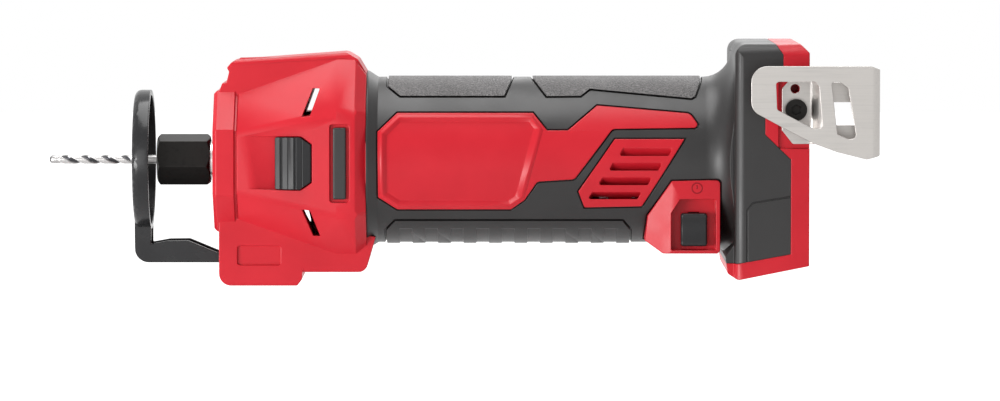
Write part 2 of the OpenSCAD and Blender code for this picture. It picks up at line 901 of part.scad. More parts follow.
module left_housing() {
    color(red)
        difference() {
            half(-1) {
                shell();
                inside()
                    bosses(-1);
            }
            screw_holes(-1);
            lock_recess();
            switch_pocket();
            pad_seat_cut(-1);
            clip_seat_cut(-1);
            badge_recess();
        }
}

// Bare recessed plate low on the left side of the head
module badge_recess() {
    side(from_x(head_x, [[8.3, -36.6, 1], [8.3, -29.8, 1], [23.7, -29.8, 1], [23.7, -36.6, 1]]), -far, -ridge_half + 0.9);
}

module right_housing() {
    color(red)
        difference() {
            half(1) {
                shell();
                inside() {
                    bosses(1);
                    board_posts();
                }
            }
            screw_holes(1);
            lever_recess();
            pad_seat_cut(1);
            clip_seat_cut(1);
        }
}

// Textured pads on top of the grip, front and rear
function front_pad() = concat(
    from_x(head_rear, [[7.6, 26.6], [12, 23.3]]),
    from_x(foot_x, [[-80.6, 23.3], [-77.9, 29.2], [-77.9, 50]]),
    from_x(head_rear, [[7.6, 50]])
);

function rear_pad() = from_x(foot_x, [
    [-70.5, 29.2], [-65.6, 23.2], [-53.7, 23.3], [-50.4, 25.7], [-14.7, 22.5], [-13.4, 23.1], [-11.2, 28.5],
    [-11.2, 50], [-70.5, 50]
]);

module grip_pads() {
    side(front_pad());
    side(rear_pad());
}

rib_top = -handle_r + 8.7;

// Strip under the grip that carries the ribs
function rib_strip() = concat(
    from_x(head_rear, [[7, -60], [7, rib_top - 3.4], [10.2, rib_top]]),
    from_x(foot_x, [[-38.9, rib_top], [-36.2, rib_top - 3.4], [-36.2, -60]])
);

// The strip stands as high as its ribs above the hollows between them
module grip_ribs() {
    rib_w = 4.6;
    rib_pitch = (handle_len - rib_clear) / (rib_count - 1);
    difference() {
        side(rib_strip());
        for (i = [0:rib_count - 2])
            box(head_rear + 7 + i * rib_pitch + rib_w, head_rear + 7 + (i + 1) * rib_pitch, -far, far, -far, rib_top - 2.9);
    }
}

// Upper front edges of the plain plate on each side of the foot
function foot_plate() = from_x(foot_x, [[4.6, -far], [4.6, -16], [6.4, -13.7], [foot_len, -10.5], [foot_len, -far]]);

// Fine grooves round the pads, the ribbed strip, the red panels and the foot's plates
module grip_grooves() {
    groove = 0.6;
    depth = 0.7;
    difference() {
        for (pts = [panel_outline(), vent_outline(), pod_outline()])
            side(grow(pts, 0.45));
        rod(head_rear, foot_x, handle_r - 1);
    }
    difference() {
        side(grow(foot_plate(), 0.5));
        side(foot_plate());
        box(0, rear_x + cut, -foot_half + 0.35, foot_half - 0.35, -far, far);
    }
    difference() {
        for (pts = [front_pad(), rear_pad(), rib_strip()])
            difference() {
                side(grow(pts, groove));
                side(pts);
            }
        rod(head_rear, foot_x, handle_r - depth);
    }
}

module grip() {
    raise = 0.4;
    difference() {
        union() {
            intersection() {
                difference() {
                    barrel(0);
                    barrel(grip_t);
                }
                grip_area();
            }
            intersection() {
                ring(head_rear + 5, foot_x - 10, handle_r + raise, handle_r - grip_t / 2);
                union() {
                    grip_pads();
                    grip_ribs();
                }
            }
        }
        grip_grooves();
        grip_windows();
        screw_holes(1);
        head_outer();
    }
}

module left_grip() {
    color(black)
        half(-1)
            grip();
}

module right_grip() {
    color(black)
        half(1)
            grip();
}

module head_pads() {
    color(black)
        for (s = [-1, 1])
            side([
                [pad_x, -pad_half, 0.6], [pad_x, pad_half, 0.6], [pad_x + pad_w, pad_half, 0.6], [pad_x + pad_w, -pad_half, 0.6]
            ], s < 0 ? -side_rear : pad_seat, s < 0 ? -pad_seat : side_rear);
}

module housing_screws() {
    color(steel)
        for (p = screw_places)
            difference() {
                union() {
                    pin_y(p.x, p.y, screw_seat - screw_len, screw_seat + screw_head_h / 2, screw_r);
                    pin_y(p.x, p.y, screw_seat, screw_seat + screw_head_h, screw_head_r);
                }
                translate([p.x, screw_seat + screw_head_h + cut, p.y])
                    rotate([90, 30, 0])
                        cylinder(h = 1.3 + cut, r = 1.5, $fn = 6);
            }
}

// Stamped guide: dished round plate, and a channel leg and arm bent from it
module depth_guide() {
    r = plate_d / 2;
    bend = 2.2;
    steps = 5;
    color(black) {
        revolve(concat(
            [[0, plate_bore / 2], [0, r - bend]],
            [for (i = [1:steps]) [bend - bend * cos(90 * i / steps), r - bend + bend * sin(90 * i / steps)]],
            [
                [plate_depth, r], [plate_depth, r - guide_t], [guide_t + 0.6, r - guide_t],
                [guide_t, r - guide_t - 0.6], [guide_t, plate_bore / 2]
            ]
        ));
        difference() {
            side([
                [0, -r + bend + 1], [0, -arm_drop, 5], [arm_end, -arm_drop], [arm_end, -arm_drop + arm_h],
                [head_x + 0.6, -arm_drop + arm_h], [head_x - 9.5, -arm_drop + 7.8, 2], [plate_depth + 6, -arm_drop + 7.7, 2],
                [plate_depth, -arm_drop + 6.6], [plate_depth, -r + bend + 1]
            ], -arm_half, arm_half);
            box(guide_t, arm_end + cut, -arm_half + guide_t, arm_half - guide_t, -arm_drop + guide_t, 0);
            rod(guide_t, plate_depth + cut, r - guide_t);
        }
    }
}

// Cam lever that clamps the guide arm
module guide_lever() {
    color(black)
        difference() {
            union() {
                translate([lever_x, lever_y, lever_z0])
                    cylinder(h = lever_h, r = lever_r);
                plan([
                    [lever_x - 1.8, lever_y], [lever_x - 1.3, lever_y - nose_r, 0.8],
                    [lever_x + 1.3, lever_y - nose_r, 0.8], [lever_x + 1.8, lever_y]
                ], lever_z0, lever_z0 + lever_h);
                plan([
                    [lever_x, lever_y], [lever_x, lever_y + 2.4], [lever_x + lever_len - 5, lever_y + 2.4, 4],
                    [lever_x + lever_len, lever_y + 3.4, 0.8], [lever_x + lever_len, lever_y + 1, 0.8],
                    [lever_x + lever_len - 6, lever_y, 4]
                ], lever_z0, lever_z0 + lever_h);
            }
            translate([lever_x, lever_y, lever_z0 - cut])
                cylinder(h = lever_h + 2 * cut, r = pin_r + run_gap);
        }
}

module lever_pin() {
    color(steel)
        translate([lever_x, lever_y, pin_z0])
            cylinder(h = pin_len, r = pin_r);
}

// Spiral bit: plain guide point, twisted flutes and a round shank
module cutting_bit() {
    r = bit_d / 2;
    flute_x = -bit_out + point_len;
    flute_r = r * 0.62;
    color(steel) {
        revolve([
            [-bit_out, 0], [-bit_out, r * 0.55], [-bit_out + 0.6, r * 0.9], [flute_x, r * 0.9], [flute_x, 0]
        ]);
        translate([flute_x, 0, 0])
            rotate([0, 90, 0])
                linear_extrude(flute_len, twist = -360 * flute_len / flute_pitch, slices = 32)
                    difference() {
                        circle(r, $fn = 16);
                        for (s = [-1, 1])
                            translate([s * r * 1.05, 0])
                                circle(flute_r, $fn = 10);
                    }
        rod(flute_x + flute_len, bit_shank, r);
    }
}

// Slit collet with a tapered nose
module collet() {
    slits = 4;
    slit_w = 0.8;
    nose = 3;
    color(steel)
        difference() {
            revolve([
                [nose_x - nose, bit_d / 2 + run_gap], [nose_x - nose, collet_r - 1], [nose_x, collet_r],
                [collet_end, collet_r], [collet_end, bit_d / 2 + run_gap]
            ]);
            for (i = [0:slits / 2 - 1])
                rotate([i * 360 / slits, 0, 0])
                    box(nose_x - nose - cut, collet_end - 3, -far, far, -slit_w / 2, slit_w / 2);
        }
}

module collet_nut() {
    chamfer = 1.2;
    corner_r = nut_af / 2 / cos(30);
    color(black)
        difference() {
            intersection() {
                translate([nut_x0, 0, 0])
                    rotate([-16, 0, 0])
                        rotate([0, 90, 0])
                            cylinder(h = nut_len, r = corner_r, $fn = 6);
                revolve([
                    [nut_x0, 0], [nut_x0, nut_af / 2 - chamfer / 2], [nut_x0 + chamfer, corner_r + 0.1],
                    [nut_x1 - chamfer, corner_r + 0.1], [nut_x1, nut_af / 2], [nut_x1, 0]
                ]);
            }
            revolve([
                [nut_x0 - cut, 0], [nut_x0 - cut, collet_r - 0.9], [nose_x - 3, collet_r - 0.9 + run_gap],
                [nose_x - run_gap, collet_r + 0.15], [nose_x - run_gap, thread_r + run_gap],
                [nut_x1 + cut, thread_r + run_gap], [nut_x1 + cut, 0]
            ]);
        }
}

// One shaft from the collet seat to the rear bearing
module rotor_shaft() {
    end = rear_bearing_x + rear_bearing_w;
    color(steel)
        difference() {
            revolve([
                [nose_x, 0], [nose_x, thread_r - 0.5], [nose_x + 0.5, thread_r], [nut_x1 + 0.2, thread_r],
                [nut_x1 + 0.2, neck_d / 2], [bearing_x, neck_d / 2], [bearing_x, shaft_r], [core_end + 8, shaft_r],
                [core_end + 8, shaft_r - 0.6], [comm_x + comm_len + 1, shaft_r - 0.6],
                [comm_x + comm_len + 1, rear_shaft_r], [end, rear_shaft_r], [end, 0]
            ]);
            rod(nose_x - cut, collet_end, collet_r + run_gap);
            rod(nose_x - cut, bit_shank + 1, bit_d / 2 + run_gap);
        }
}

// Slotted collar that the lock's dog drops into
module lock_collar() {
    color(steel)
        difference() {
            ring(lock_x, lock_x + lock_len, lock_r, shaft_r + run_gap);
            for (i = [0:lock_slots - 1])
                rotate([i * 360 / lock_slots, 0, 0])
                    box(lock_x + lock_len - lock_slot_depth, lock_x + lock_len + cut, dog_y - 0.6, far,
                        -lock_slot_w / 2, lock_slot_w / 2);
        }
}

module spindle_seal() {
    color([0.35, 0.33, 0.30])
        ring(seal_x + run_gap, seal_x + seal_w, neck_d / 2 + 3.5 - run_gap, neck_d / 2 + run_gap);
}

// Ball bearings: rings with a shallow race, and the balls between
function race_r(d_out, d_in) = (d_out + d_in) / 4;
function ball_r(d_out, d_in) = (d_out - d_in) * 0.16;

module outer_race(x, w, d_out, d_in) {
    mid = race_r(d_out, d_in);
    land = mid + ball_r(d_out, d_in) * 0.65;
    race = mid + ball_r(d_out, d_in) + run_gap;
    rim = w / 4;
    color(steel)
        revolve([
            [x, land], [x, d_out / 2], [x + w, d_out / 2], [x + w, land],
            [x + w - rim / 2, land], [x + w - rim, race], [x + rim, race], [x + rim / 2, land]
        ]);
}

module inner_race(x, w, d_out, d_in) {
    mid = race_r(d_out, d_in);
    land = mid - ball_r(d_out, d_in) * 0.65;
    race = mid - ball_r(d_out, d_in) - run_gap;
    rim = w / 4;
    color(steel)
        revolve([
            [x, d_in / 2 + run_gap], [x, land], [x + rim / 2, land], [x + rim, race],
            [x + w - rim, race], [x + w - rim / 2, land], [x + w, land], [x + w, d_in / 2 + run_gap]
        ]);
}

module balls(x, w, d_out, d_in, n) {
    color(steel)
        for (i = [0:n - 1])
            rotate([i * 360 / n, 0, 0])
                translate([x + w / 2, 0, race_r(d_out, d_in)])
                    sphere(r = ball_r(d_out, d_in), $fn = 32);
}

module front_bearing_outer_ring() {
    outer_race(bearing_x, bearing_w, bearing_d, 2 * shaft_r);
}

module front_bearing_inner_ring() {
    inner_race(bearing_x, bearing_w, bearing_d, 2 * shaft_r);
}

module front_bearing_balls() {
    balls(bearing_x, bearing_w, bearing_d, 2 * shaft_r, 8);
}

module rear_bearing_outer_ring() {
    outer_race(rear_bearing_x, rear_bearing_w, rear_bearing_d, 2 * rear_shaft_r);
}

module rear_bearing_inner_ring() {
    inner_race(rear_bearing_x, rear_bearing_w, rear_bearing_d, 2 * rear_shaft_r);
}

module rear_bearing_balls() {
    balls(rear_bearing_x, rear_bearing_w, rear_bearing_d, 2 * rear_shaft_r, 7);
}

// Rubber boot that cushions the rear bearing
module rear_bearing_boot() {
    color(black)
        ring(rear_bearing_x, rear_bearing_x + rear_bearing_w, rear_bearing_d / 2 + boot_t, rear_bearing_d / 2 + run_gap);
}

// Thumb piece of the spindle lock, ribbed across its slide
module spindle_lock_button() {
    // place, depth and width of the grooves across the thumb piece
    grooves = [[2.1, 2.9 + 0.74, 0.8], [4.6, 2.9 + 1.62, 0.4], [7.1, 2.9 + 2.35, 0.8], [9.6, 2.9 + 2.05, 0.4]];
    crest = thumb_x + 7.1;
    color(black) {
        difference() {
            intersection() {
                plan([
                    [thumb_x, -lock_floor - 0.1], [thumb_x, -lock_floor - 2.8, 0.6], [crest, -side_rear - 0.2, 0.8],
                    [thumb_x + thumb_len, -side_rear + 0.8, 0.8], [thumb_x + thumb_len, -lock_floor - 0.1]
                ], -thumb_half, thumb_half);
                side([
                    [thumb_x, -thumb_half, 0.6], [thumb_x, thumb_half, 0.6],
                    [thumb_x + thumb_len - thumb_cut.x, thumb_half], [thumb_x + thumb_len, thumb_half - thumb_cut.y],
                    [thumb_x + thumb_len, -thumb_half + thumb_cut.y], [thumb_x + thumb_len - thumb_cut.x, -thumb_half]
                ]);
            }
            for (g = grooves)
                translate([thumb_x + g.x, -lock_floor - g.y, 0])
                    rotate([0, 0, 45])
                        cube([g.z, g.z, 4 * thumb_half], center = true);
        }
        box(stem_x, stem_x + stem_len, -lock_floor - 0.2, -chamber_r + 0.4, -stem_half, stem_half);
    }
}

// Steel dog under the thumb piece
module spindle_lock_dog() {
    bridge = 3;
    color(steel) {
        box(stem_x, stem_x + stem_len, -chamber_r + 0.4, -chamber_r + 0.4 + bridge, -stem_half, stem_half);
        box(stem_x, stem_x + bridge, -chamber_r + 0.4, -dog_y, -dog_half, dog_half);
        box(dog_x, stem_x + bridge, -dog_y - dog_t, -dog_y, -dog_half, dog_half);
    }
}

module led_lens() {
    color([0.92, 0.94, 0.95])
        side(lens_side(), -lens_half, lens_half);
}

// Lamp board with its light chip
module led_board() {
    chip = 0.9;
    color([0.85, 0.80, 0.55]) {
        box(lens_back + chip, lens_back + chip + 1.6, -lens_half, lens_half, lens_z - 1, lens_z + lens_h + 1);
        box(lens_back, lens_back + chip, -1.6, 1.6, lens_z + 0.4, lens_z + lens_h - 0.4);
    }
}

// Radial fan with backswept blades on a disc
module cooling_fan() {
    hub_r = 9;
    disc_t = 1.6;
    blade_t = 1.2;
    r = fan_room_r - fan_gap;
    color(black)
        difference() {
            union() {
                rod(fan_x, fan_x + fan_len, hub_r);
                rod(fan_x + fan_len - disc_t, fan_x + fan_len, r);
                intersection() {
                    for (i = [0:fan_blades - 1])
                        rotate([i * 360 / fan_blades, 0, 0])
                            rotate([-18, 0, 0])
                                box(fan_x + 1, fan_x + fan_len - disc_t / 2, hub_r * 0.9, r, -4 - blade_t, -4);
                    rod(fan_x, fan_x + fan_len, r - 0.2);
                }
            }
            rod(fan_x - cut, fan_x + fan_len + cut, shaft_r + run_gap);
        }
}

// Steel motor can with an open front and a lipped rear
module motor_can() {
    front_r = can_r - 5;
    ways = 4;
    color(steel)
        difference() {
            ring(can_x, can_end, can_r, shaft_r + 6);
            rod(can_x + can_t, can_end + cut, can_r - can_t);
            for (i = [0:ways - 1])
                rotate([i * 360 / ways, 0, 0])
                    translate([can_x - cut, 0, (front_r + shaft_r + 4) / 2])
                        rotate([0, 90, 0])
                            cylinder(h = can_t + 2 * cut, r = 4);
        }
}

// Two arc magnets inside the can
module motor_magnets() {
    color([0.25, 0.25, 0.27])
        difference() {
            ring(can_x + can_t + 4, can_end - 4, can_r - can_t - run_gap, rotor_d / 2 + magnet_gap);
            box(0, rear_x, -5, 5, -far, far);
        }
}

// Rotor core with a slot between each pair of teeth
module rotor_core() {
    slot_w = 2.2;
    r = rotor_d / 2;
    color([0.45, 0.46, 0.48])
        difference() {
            ring(core_x, core_end, r, shaft_r + run_gap);
            for (i = [0:rotor_teeth - 1])
                rotate([i * 360 / rotor_teeth, 0, 0])
                    box(core_x - cut, core_end + cut, r * 0.5, r + cut, -slot_w / 2, slot_w / 2);
        }
}

// Copper windings: a bar in each slot and the end turns
module rotor_windings() {
    slot_w = 2.2;
    r = rotor_d / 2;
    inner = shaft_r + 1.2;
    outer = r - 1.4;
    bulge = 1.6;
    color(copper) {
        for (i = [0:rotor_teeth - 1])
            rotate([i * 360 / rotor_teeth, 0, 0])
                box(core_x - 0.5, core_end + 0.5, r * 0.5 + 0.1, r - 1.6, -slot_w / 2 + 0.1, slot_w / 2 - 0.1);
        for (x = [core_x - winding_len, core_end])
            revolve([
                [x, inner + bulge], [x, outer - bulge], [x + bulge, outer], [x + winding_len - bulge, outer],
                [x + winding_len, outer - bulge], [x + winding_len, inner + bulge], [x + winding_len - bulge, inner],
                [x + bulge, inner]
            ]);
    }
}

// Commutator with a groove between its bars
module commutator() {
    bars = 2 * rotor_teeth;
    r = commutator_d / 2;
    color(copper)
        difference() {
            union() {
                ring(comm_x, comm_x + comm_len, r, shaft_r - 0.6 + run_gap);
                ring(comm_x, comm_x + 1.6, r + 1.2, shaft_r);
            }
            for (i = [0:bars - 1])
                rotate([i * 360 / bars, 0, 0])
                    box(comm_x - cut, comm_x + comm_len + cut, r - 0.8, r + 3, -0.2, 0.2);
        }
}

brush_w = 5;
brush_h = 8;
spring_room = 3.3;
brush_len = can_r - 1.4 - commutator_d / 2 - slide_gap - spring_room;

// Box that holds one brush and its spring
module brush_way() {
    box(comm_x + 2.6, comm_x + 2.6 + brush_h, -brush_w / 2, brush_w / 2, commutator_d / 2 + slide_gap, can_r - 1.4);
}

// Moulded ring with two brush boxes
module brush_holder() {
    ring_t = 3;
    color([0.20, 0.20, 0.21])
        difference() {
            union() {
                ring(holder_x, holder_x + holder_len, can_r, can_r - ring_t);
                intersection() {
                    for (s = [0, 180])
                        rotate([s, 0, 0])
                            box(holder_x + 3, holder_x + holder_len - 3, -5, 5, commutator_d / 2 + 1.4, can_r - ring_t / 2);
                    rod(holder_x, holder_x + holder_len, can_r - ring_t / 2);
                }
            }
            for (s = [0, 180])
                rotate([s, 0, 0])
                    brush_way();
        }
}

module carbon_brushes() {
    color([0.22, 0.22, 0.23])
        for (s = [0, 180])
            rotate([s, 0, 0])
                intersection() {
                    brush_way();
                    box(comm_x, comm_x + comm_len, -brush_w, brush_w, 0, commutator_d / 2 + slide_gap + brush_len);
                }
}

// Helix along +Z, swept with square-ended rings of points
function helix_points(r, pitch, turns, wire, sides, steps) = [
    for (i = [0:steps])
        let (a = 360 * turns * i / steps)
        let (tilt = atan2(pitch, 2 * PI * r))
        for (k = [0:sides - 1])
            let (b = 360 * k / sides)
            let (out = r + wire * cos(b))
            [
                out * cos(a) + wire * sin(b) * sin(tilt) * sin(a),
                out * sin(a) - wire * sin(b) * sin(tilt) * cos(a),
                pitch * turns * i / steps + wire * sin(b) * cos(tilt)
            ]
];

function tube_faces(sides, steps) = concat(
    [[for (k = [0:sides - 1]) k]],
    [for (i = [0:steps - 1]) for (k = [0:sides - 1]) let (m = (k + 1) % sides) each [
        [i * sides + k, (i + 1) * sides + k, (i + 1) * sides + m],
        [i * sides + k, (i + 1) * sides + m, i * sides + m]
    ]],
    [[for (k = [sides - 1:-1:0]) steps * sides + k]]
);

// Springs that press the brushes on the commutator
module brush_springs() {
    wire = 0.3;
    turns = 4;
    sides = 6;
    steps = 40;
    start = commutator_d / 2 + slide_gap + brush_len + wire;
    room = can_r - 1.4 - start - wire;
    color(steel)
        for (s = [0, 180])
            rotate([s, 0, 0])
                translate([comm_x + 2.6 + brush_h / 2, 0, start])
                    polyhedron(helix_points(1.8, room / turns, turns, wire, sides, steps), tube_faces(sides, steps));
}

// Sliding button of the power switch, with its stem
module power_switch_button() {
    face = pod_y - 0.6;
    color(black) {
        difference() {
            side([
                [button_x, button_z], [button_x, button_z + button_h, 1], [button_x + button_w, button_z + button_h, 1],
                [button_x + button_w, button_z]
            ], -face, -pocket_floor - 0.2);
            translate([button_x - cut, -face - 9.2, button_z + button_h / 2])
                rotate([0, 90, 0])
                    cylinder(h = button_w + 2 * cut, r = 10);
        }
        box(button_x + (button_w - switch_stem) / 2, button_x + (button_w + switch_stem) / 2,
            -pocket_floor - 0.3, -module_y + 2.4,
            button_z + (button_h - switch_stem) / 2, button_z + (button_h + switch_stem) / 2);
    }
}

module_x = foot_x - 22.5;
module_len = 14;
module_z = pod_z + wall + 0.4;
module_h = 17;

// Sealed switch that the button's stem works
module switch_module() {
    gap = slide_gap;
    color([0.16, 0.16, 0.17])
        difference() {
            union() {
                box(module_x, module_x + module_len, -module_y + 0.3, -6, module_z, module_z + module_h);
                for (x = [module_x + 3, module_x + module_len - 5])
                    box(x, x + 2, -6, -2.5, module_z + 9, module_z + 13);
            }
            box(button_x + (button_w - switch_stem) / 2 - gap, button_x + (button_w + switch_stem) / 2 + gap,
                -module_y, -module_y + 3,
                button_z + (button_h - switch_stem) / 2 - gap,
                button_z + (button_h + switch_stem) / 2 + switch_travel + gap);
        }
}

// Circuit board with a heat sink and a capacitor
module control_board() {
    color([0.10, 0.35, 0.18]) {
        box(board_x, board_x + board_len, board_y, board_y + board_t, board_z, board_z + board_h);
        box(board_x + 5, board_x + 17, board_y - 4, board_y, board_z + 6, board_z + 16);
        translate([board_x + 20.5, board_y, board_z + 11])
            rotate([90, 0, 0])
                cylinder(h = 8, r = 4);
    }
}

// Rings of points along a route, each square to the route there
function route_points(pts, r, sides) =
    let (last = len(pts) - 1)
    [for (i = [0:last])
        let (along = unit(
            (i > 0 ? unit(pts[i] - pts[i - 1]) : [0, 0, 0]) + (i < last ? unit(pts[i + 1] - pts[i]) : [0, 0, 0])))
        let (u = unit(cross(along, [0, 1, 0.2])))
        let (v = cross(along, u))
        for (k = [0:sides - 1])
            pts[i] + r * (cos(360 * k / sides) * u + sin(360 * k / sides) * v)];

// Round wire through a list of points
module wire(pts, r) {
    sides = 8;
    polyhedron(route_points(pts, r, sides), tube_faces(sides, len(pts) - 1));
}

// Leads from the switch and the board to the brushes, and from the switch to the terminals
module lead_wires() {
    r = 0.9;
    way_r = (rear_bearing_d / 2 + boot_t + cavity_r) / 2 + 0.4;
    way_y = way_r * cos(22.5);
    way_z = way_r * sin(22.5);
    near = bulkhead_x + bulkhead_len + 1;
    end = holder_x + holder_len;
    end_y = (can_r - 1.5) * cos(22.5);
    end_z = (can_r - 1.5) * sin(22.5);
    tab_z = module_z + 11;
    color([0.75, 0.10, 0.10]) {
        wire([
            [module_x + 4, -2.5, tab_z], [module_x + 4, 3, tab_z], [near + 9, 12, -9],
            [near, way_y, -way_z], [bulkhead_x - 0.4, way_y, -way_z], [end + 1.2, end_y, -end_z], [end, end_y, -end_z]
        ], r);
        wire([
            [board_x, board_y + board_t / 2, board_z + 8], [board_x - 4, board_y + board_t / 2, board_z + 8],
            [near, way_y, way_z], [bulkhead_x - 0.4, way_y, way_z], [end + 1.2, end_y, end_z], [end, end_y, end_z]
        ], r);
        wire([
            [module_x + module_len - 4, -2.5, tab_z], [module_x + module_len - 4, 1, tab_z],
            [foot_x - 5, -4, 2], [block_x - 3, -4, 12], [block_x, -4, 12]
        ], r);
    }
}

blade_t = 0.8;
blade_x0 = bay_x + 3;
blade_x1 = bay_x + 8;
blade_z0 = -4;
blade_z1 = 16;

module terminal_blades() {
    for (y = [-10.5, -3.5, 3.5, 10.5])
        box(blade_x0, blade_x1, y - blade_t / 2, y + blade_t / 2, blade_z0, blade_z1);
}

module battery_terminals() {
    color(brass)
        terminal_blades();
}

// Moulded block that carries the blades in the battery slot
module terminal_block() {
    flange = 2.4;
    color(black)
        difference() {
            union() {
                box(block_x, bay_x + flange, -block_half, block_half, block_z0, block_z1);
                box(bay_x, bay_x + flange, -block_half - 3, block_half + 3, block_z0 - 5, block_z1 + 3);
                box(bay_x, bay_x + 10, -block_half, block_half, block_z0 + 2, block_z1);
            }
            terminal_blades();
        }
}

// Strip of the belt clip seen from above: base, jog, inner leg, end web and outer leg
module clip_strip() {
    inner = clip_seat + 4.2;
    outer = foot_half + clip_gap;
    start = rear_x - 24;
    end = rear_x + clip_reach;
    t = clip_t;
    r_in = clip_bend;
    r_out = clip_bend + clip_t;
    plan([
        [start, -clip_seat], [rear_x + 1.4, -clip_seat, r_out], [rear_x + 4.4, -inner, r_in],
        [end, -inner, r_out], [end, -outer - t, r_out], [start, -outer - t],
        [start, -outer], [end - t, -outer, r_in], [end - t, -inner - t, r_in],
        [rear_x + 3.7, -inner - t, r_out], [rear_x + 0.7, -clip_seat - t, r_in], [start, -clip_seat - t]
    ], 0, far);
}

module belt_clip() {
    mid = foot_half + clip_gap - 3;
    color(steel)
        difference() {
            intersection() {
                clip_strip();
                union() {
                    // outer leg with its web
                    side(from_x(rear_x, [
                        [-21, 34.8, 5.6], [20.7, 34.8, 3], [clip_reach, 33.6], [clip_reach, 3.6, 0.8], [19.1, 2.4, 2],
                        [8.8, 5], [0.4, 8.1], [-9.5, 13.2], [-21, 19.4, 5]
                    ]), -far, -mid);
                    // base and inner leg
                    side(from_x(rear_x, [
                        [-9.7, 26.6], [-7.6, 29], [20, 29, 3], [clip_reach, 28], [clip_reach, 8], [20, 8, 3], [-1.2, 7.2, 1],
                        [-5.9, 7.2, 1], [-9.7, 12]
                    ]), -mid, 0);
                }
            }
            // windows in the outer leg
            side(from_x(rear_x, [
                [-11.6, 29.4, 1], [1.1, 29.4, 1], [2.5, 27.7], [3.7, 13.5, 0.8], [0.8, 13, 1], [-12, 19.7, 1], [-12.4, 28.8, 0.6]
            ]), -far, -mid);
            side(from_x(rear_x, [
                [6.8, 29.4, 1], [9.6, 29.4, 1], [12.6, 27.2, 1], [15.3, 11.1, 1], [14.7, 9.7, 1], [12.8, 9.5, 1], [8.9, 11.1, 1]
            ]), -far, -mid);
            // slot in the inner leg, screw hole and locating hole
            side(from_x(rear_x, [[6.5, 14, 1], [6.5, 22, 1], [17, 22, 1], [17, 14, 1]]), -mid, 0);
            pin_y(clip_x, clip_z, -mid, 0, clip_screw_r + 0.2);
            pin_y(clip_x - 0.3, clip_z + 7.3, -mid, 0, 1.6);
        }
}

module belt_clip_screw() {
    head = 2.4;
    head_r = 3.8;
    seat = -clip_seat - clip_t;
    color(black)
        difference() {
            union() {
                pin_y(clip_x, clip_z, seat - head, seat, head_r);
                pin_y(clip_x, clip_z, seat - head / 2, -clip_seat + insert_len, clip_screw_r);
            }
            translate([clip_x, seat - head + 1.4, clip_z])
                rotate([90, 30, 0])
                    cylinder(h = 1.4 + cut, r = 1.8, $fn = 6);
        }
}

// Threaded brass inserts for the clip, one on each side
module clip_inserts() {
    color(brass)
        for (s = [-1, 1])
            difference() {
                pin_y(clip_x, clip_z, s < 0 ? -clip_seat : clip_seat - insert_len,
                    s < 0 ? -clip_seat + insert_len : clip_seat, insert_r);
                pin_y(clip_x, clip_z, -far, far, clip_screw_r + run_gap);
            }
}

left_housing();
right_housing();
left_grip();
right_grip();
head_pads();
housing_screws();
depth_guide();
guide_lever();
lever_pin();
cutting_bit();
collet();
collet_nut();
rotor_shaft();
lock_collar();
spindle_seal();
front_bearing_outer_ring();
front_bearing_inner_ring();
front_bearing_balls();
spindle_lock_button();
spindle_lock_dog();
led_lens();
led_board();
cooling_fan();
motor_can();
motor_magnets();
rotor_core();
rotor_windings();
commutator();
brush_holder();
carbon_brushes();
brush_springs();
rear_bearing_outer_ring();
rear_bearing_inner_ring();
rear_bearing_balls();
rear_bearing_boot();
power_switch_button();
switch_module();
control_board();
lead_wires();
terminal_block();
battery_terminals();
belt_clip();
belt_clip_screw();
clip_inserts();
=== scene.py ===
"""Looks of the cordless drywall cut out tool: finishes, rounded edges and fine moulded details.

Metres, in the frame of the solids: the spindle turns about X, +X runs from the bit to the battery
foot, +Z is up, and the side with the power switch and the belt clip faces -Y.
"""

import json
import math

import bmesh
import bpy
import numpy as np
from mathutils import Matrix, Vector
from mathutils.bvhtree import BVHTree

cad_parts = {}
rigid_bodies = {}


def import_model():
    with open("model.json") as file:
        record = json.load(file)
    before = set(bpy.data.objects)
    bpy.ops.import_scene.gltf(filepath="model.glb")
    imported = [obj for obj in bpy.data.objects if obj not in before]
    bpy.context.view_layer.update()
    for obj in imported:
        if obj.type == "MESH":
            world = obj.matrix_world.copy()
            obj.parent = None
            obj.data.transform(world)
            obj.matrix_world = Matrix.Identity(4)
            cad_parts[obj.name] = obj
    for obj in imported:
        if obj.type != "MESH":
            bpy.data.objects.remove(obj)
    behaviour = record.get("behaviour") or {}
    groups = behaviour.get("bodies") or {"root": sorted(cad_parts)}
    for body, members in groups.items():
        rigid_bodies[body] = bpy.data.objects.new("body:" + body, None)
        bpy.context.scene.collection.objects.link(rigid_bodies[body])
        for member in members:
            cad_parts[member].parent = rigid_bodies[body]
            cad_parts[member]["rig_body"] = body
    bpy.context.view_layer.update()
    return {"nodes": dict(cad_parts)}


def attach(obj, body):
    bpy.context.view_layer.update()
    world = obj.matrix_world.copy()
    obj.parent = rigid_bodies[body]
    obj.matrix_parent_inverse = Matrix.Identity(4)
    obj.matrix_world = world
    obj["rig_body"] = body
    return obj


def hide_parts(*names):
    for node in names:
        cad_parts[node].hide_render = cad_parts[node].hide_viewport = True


MM = 0.001

# Places of the solids, in millimetres
HEAD_REAR = 82.5
FOOT_X = 211.7
HANDLE_R = 29.4
FOOT_SWEEP = 10.0
PANEL_R = 29.8
FIELD_R = 28.8
POD_FACE = 29.0

# Stage: the sky's strength as a light, the floor's height in metres, and the floor's glow near the shadow
SKY_LEVEL = 0.30
FLOOR_Z = -0.15
FLOOR_GLOW = 0.20

for old in list(bpy.data.objects):
    bpy.data.objects.remove(old)
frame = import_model()
nodes = frame["nodes"]


# Camera, light and stage

def aim(thing, at):
    """Turns a camera or lamp so that its -Z axis points at a place."""
    thing.rotation_mode = "QUATERNION"
    thing.rotation_quaternion = (Vector(at) - thing.location).to_track_quat("-Z", "Y")


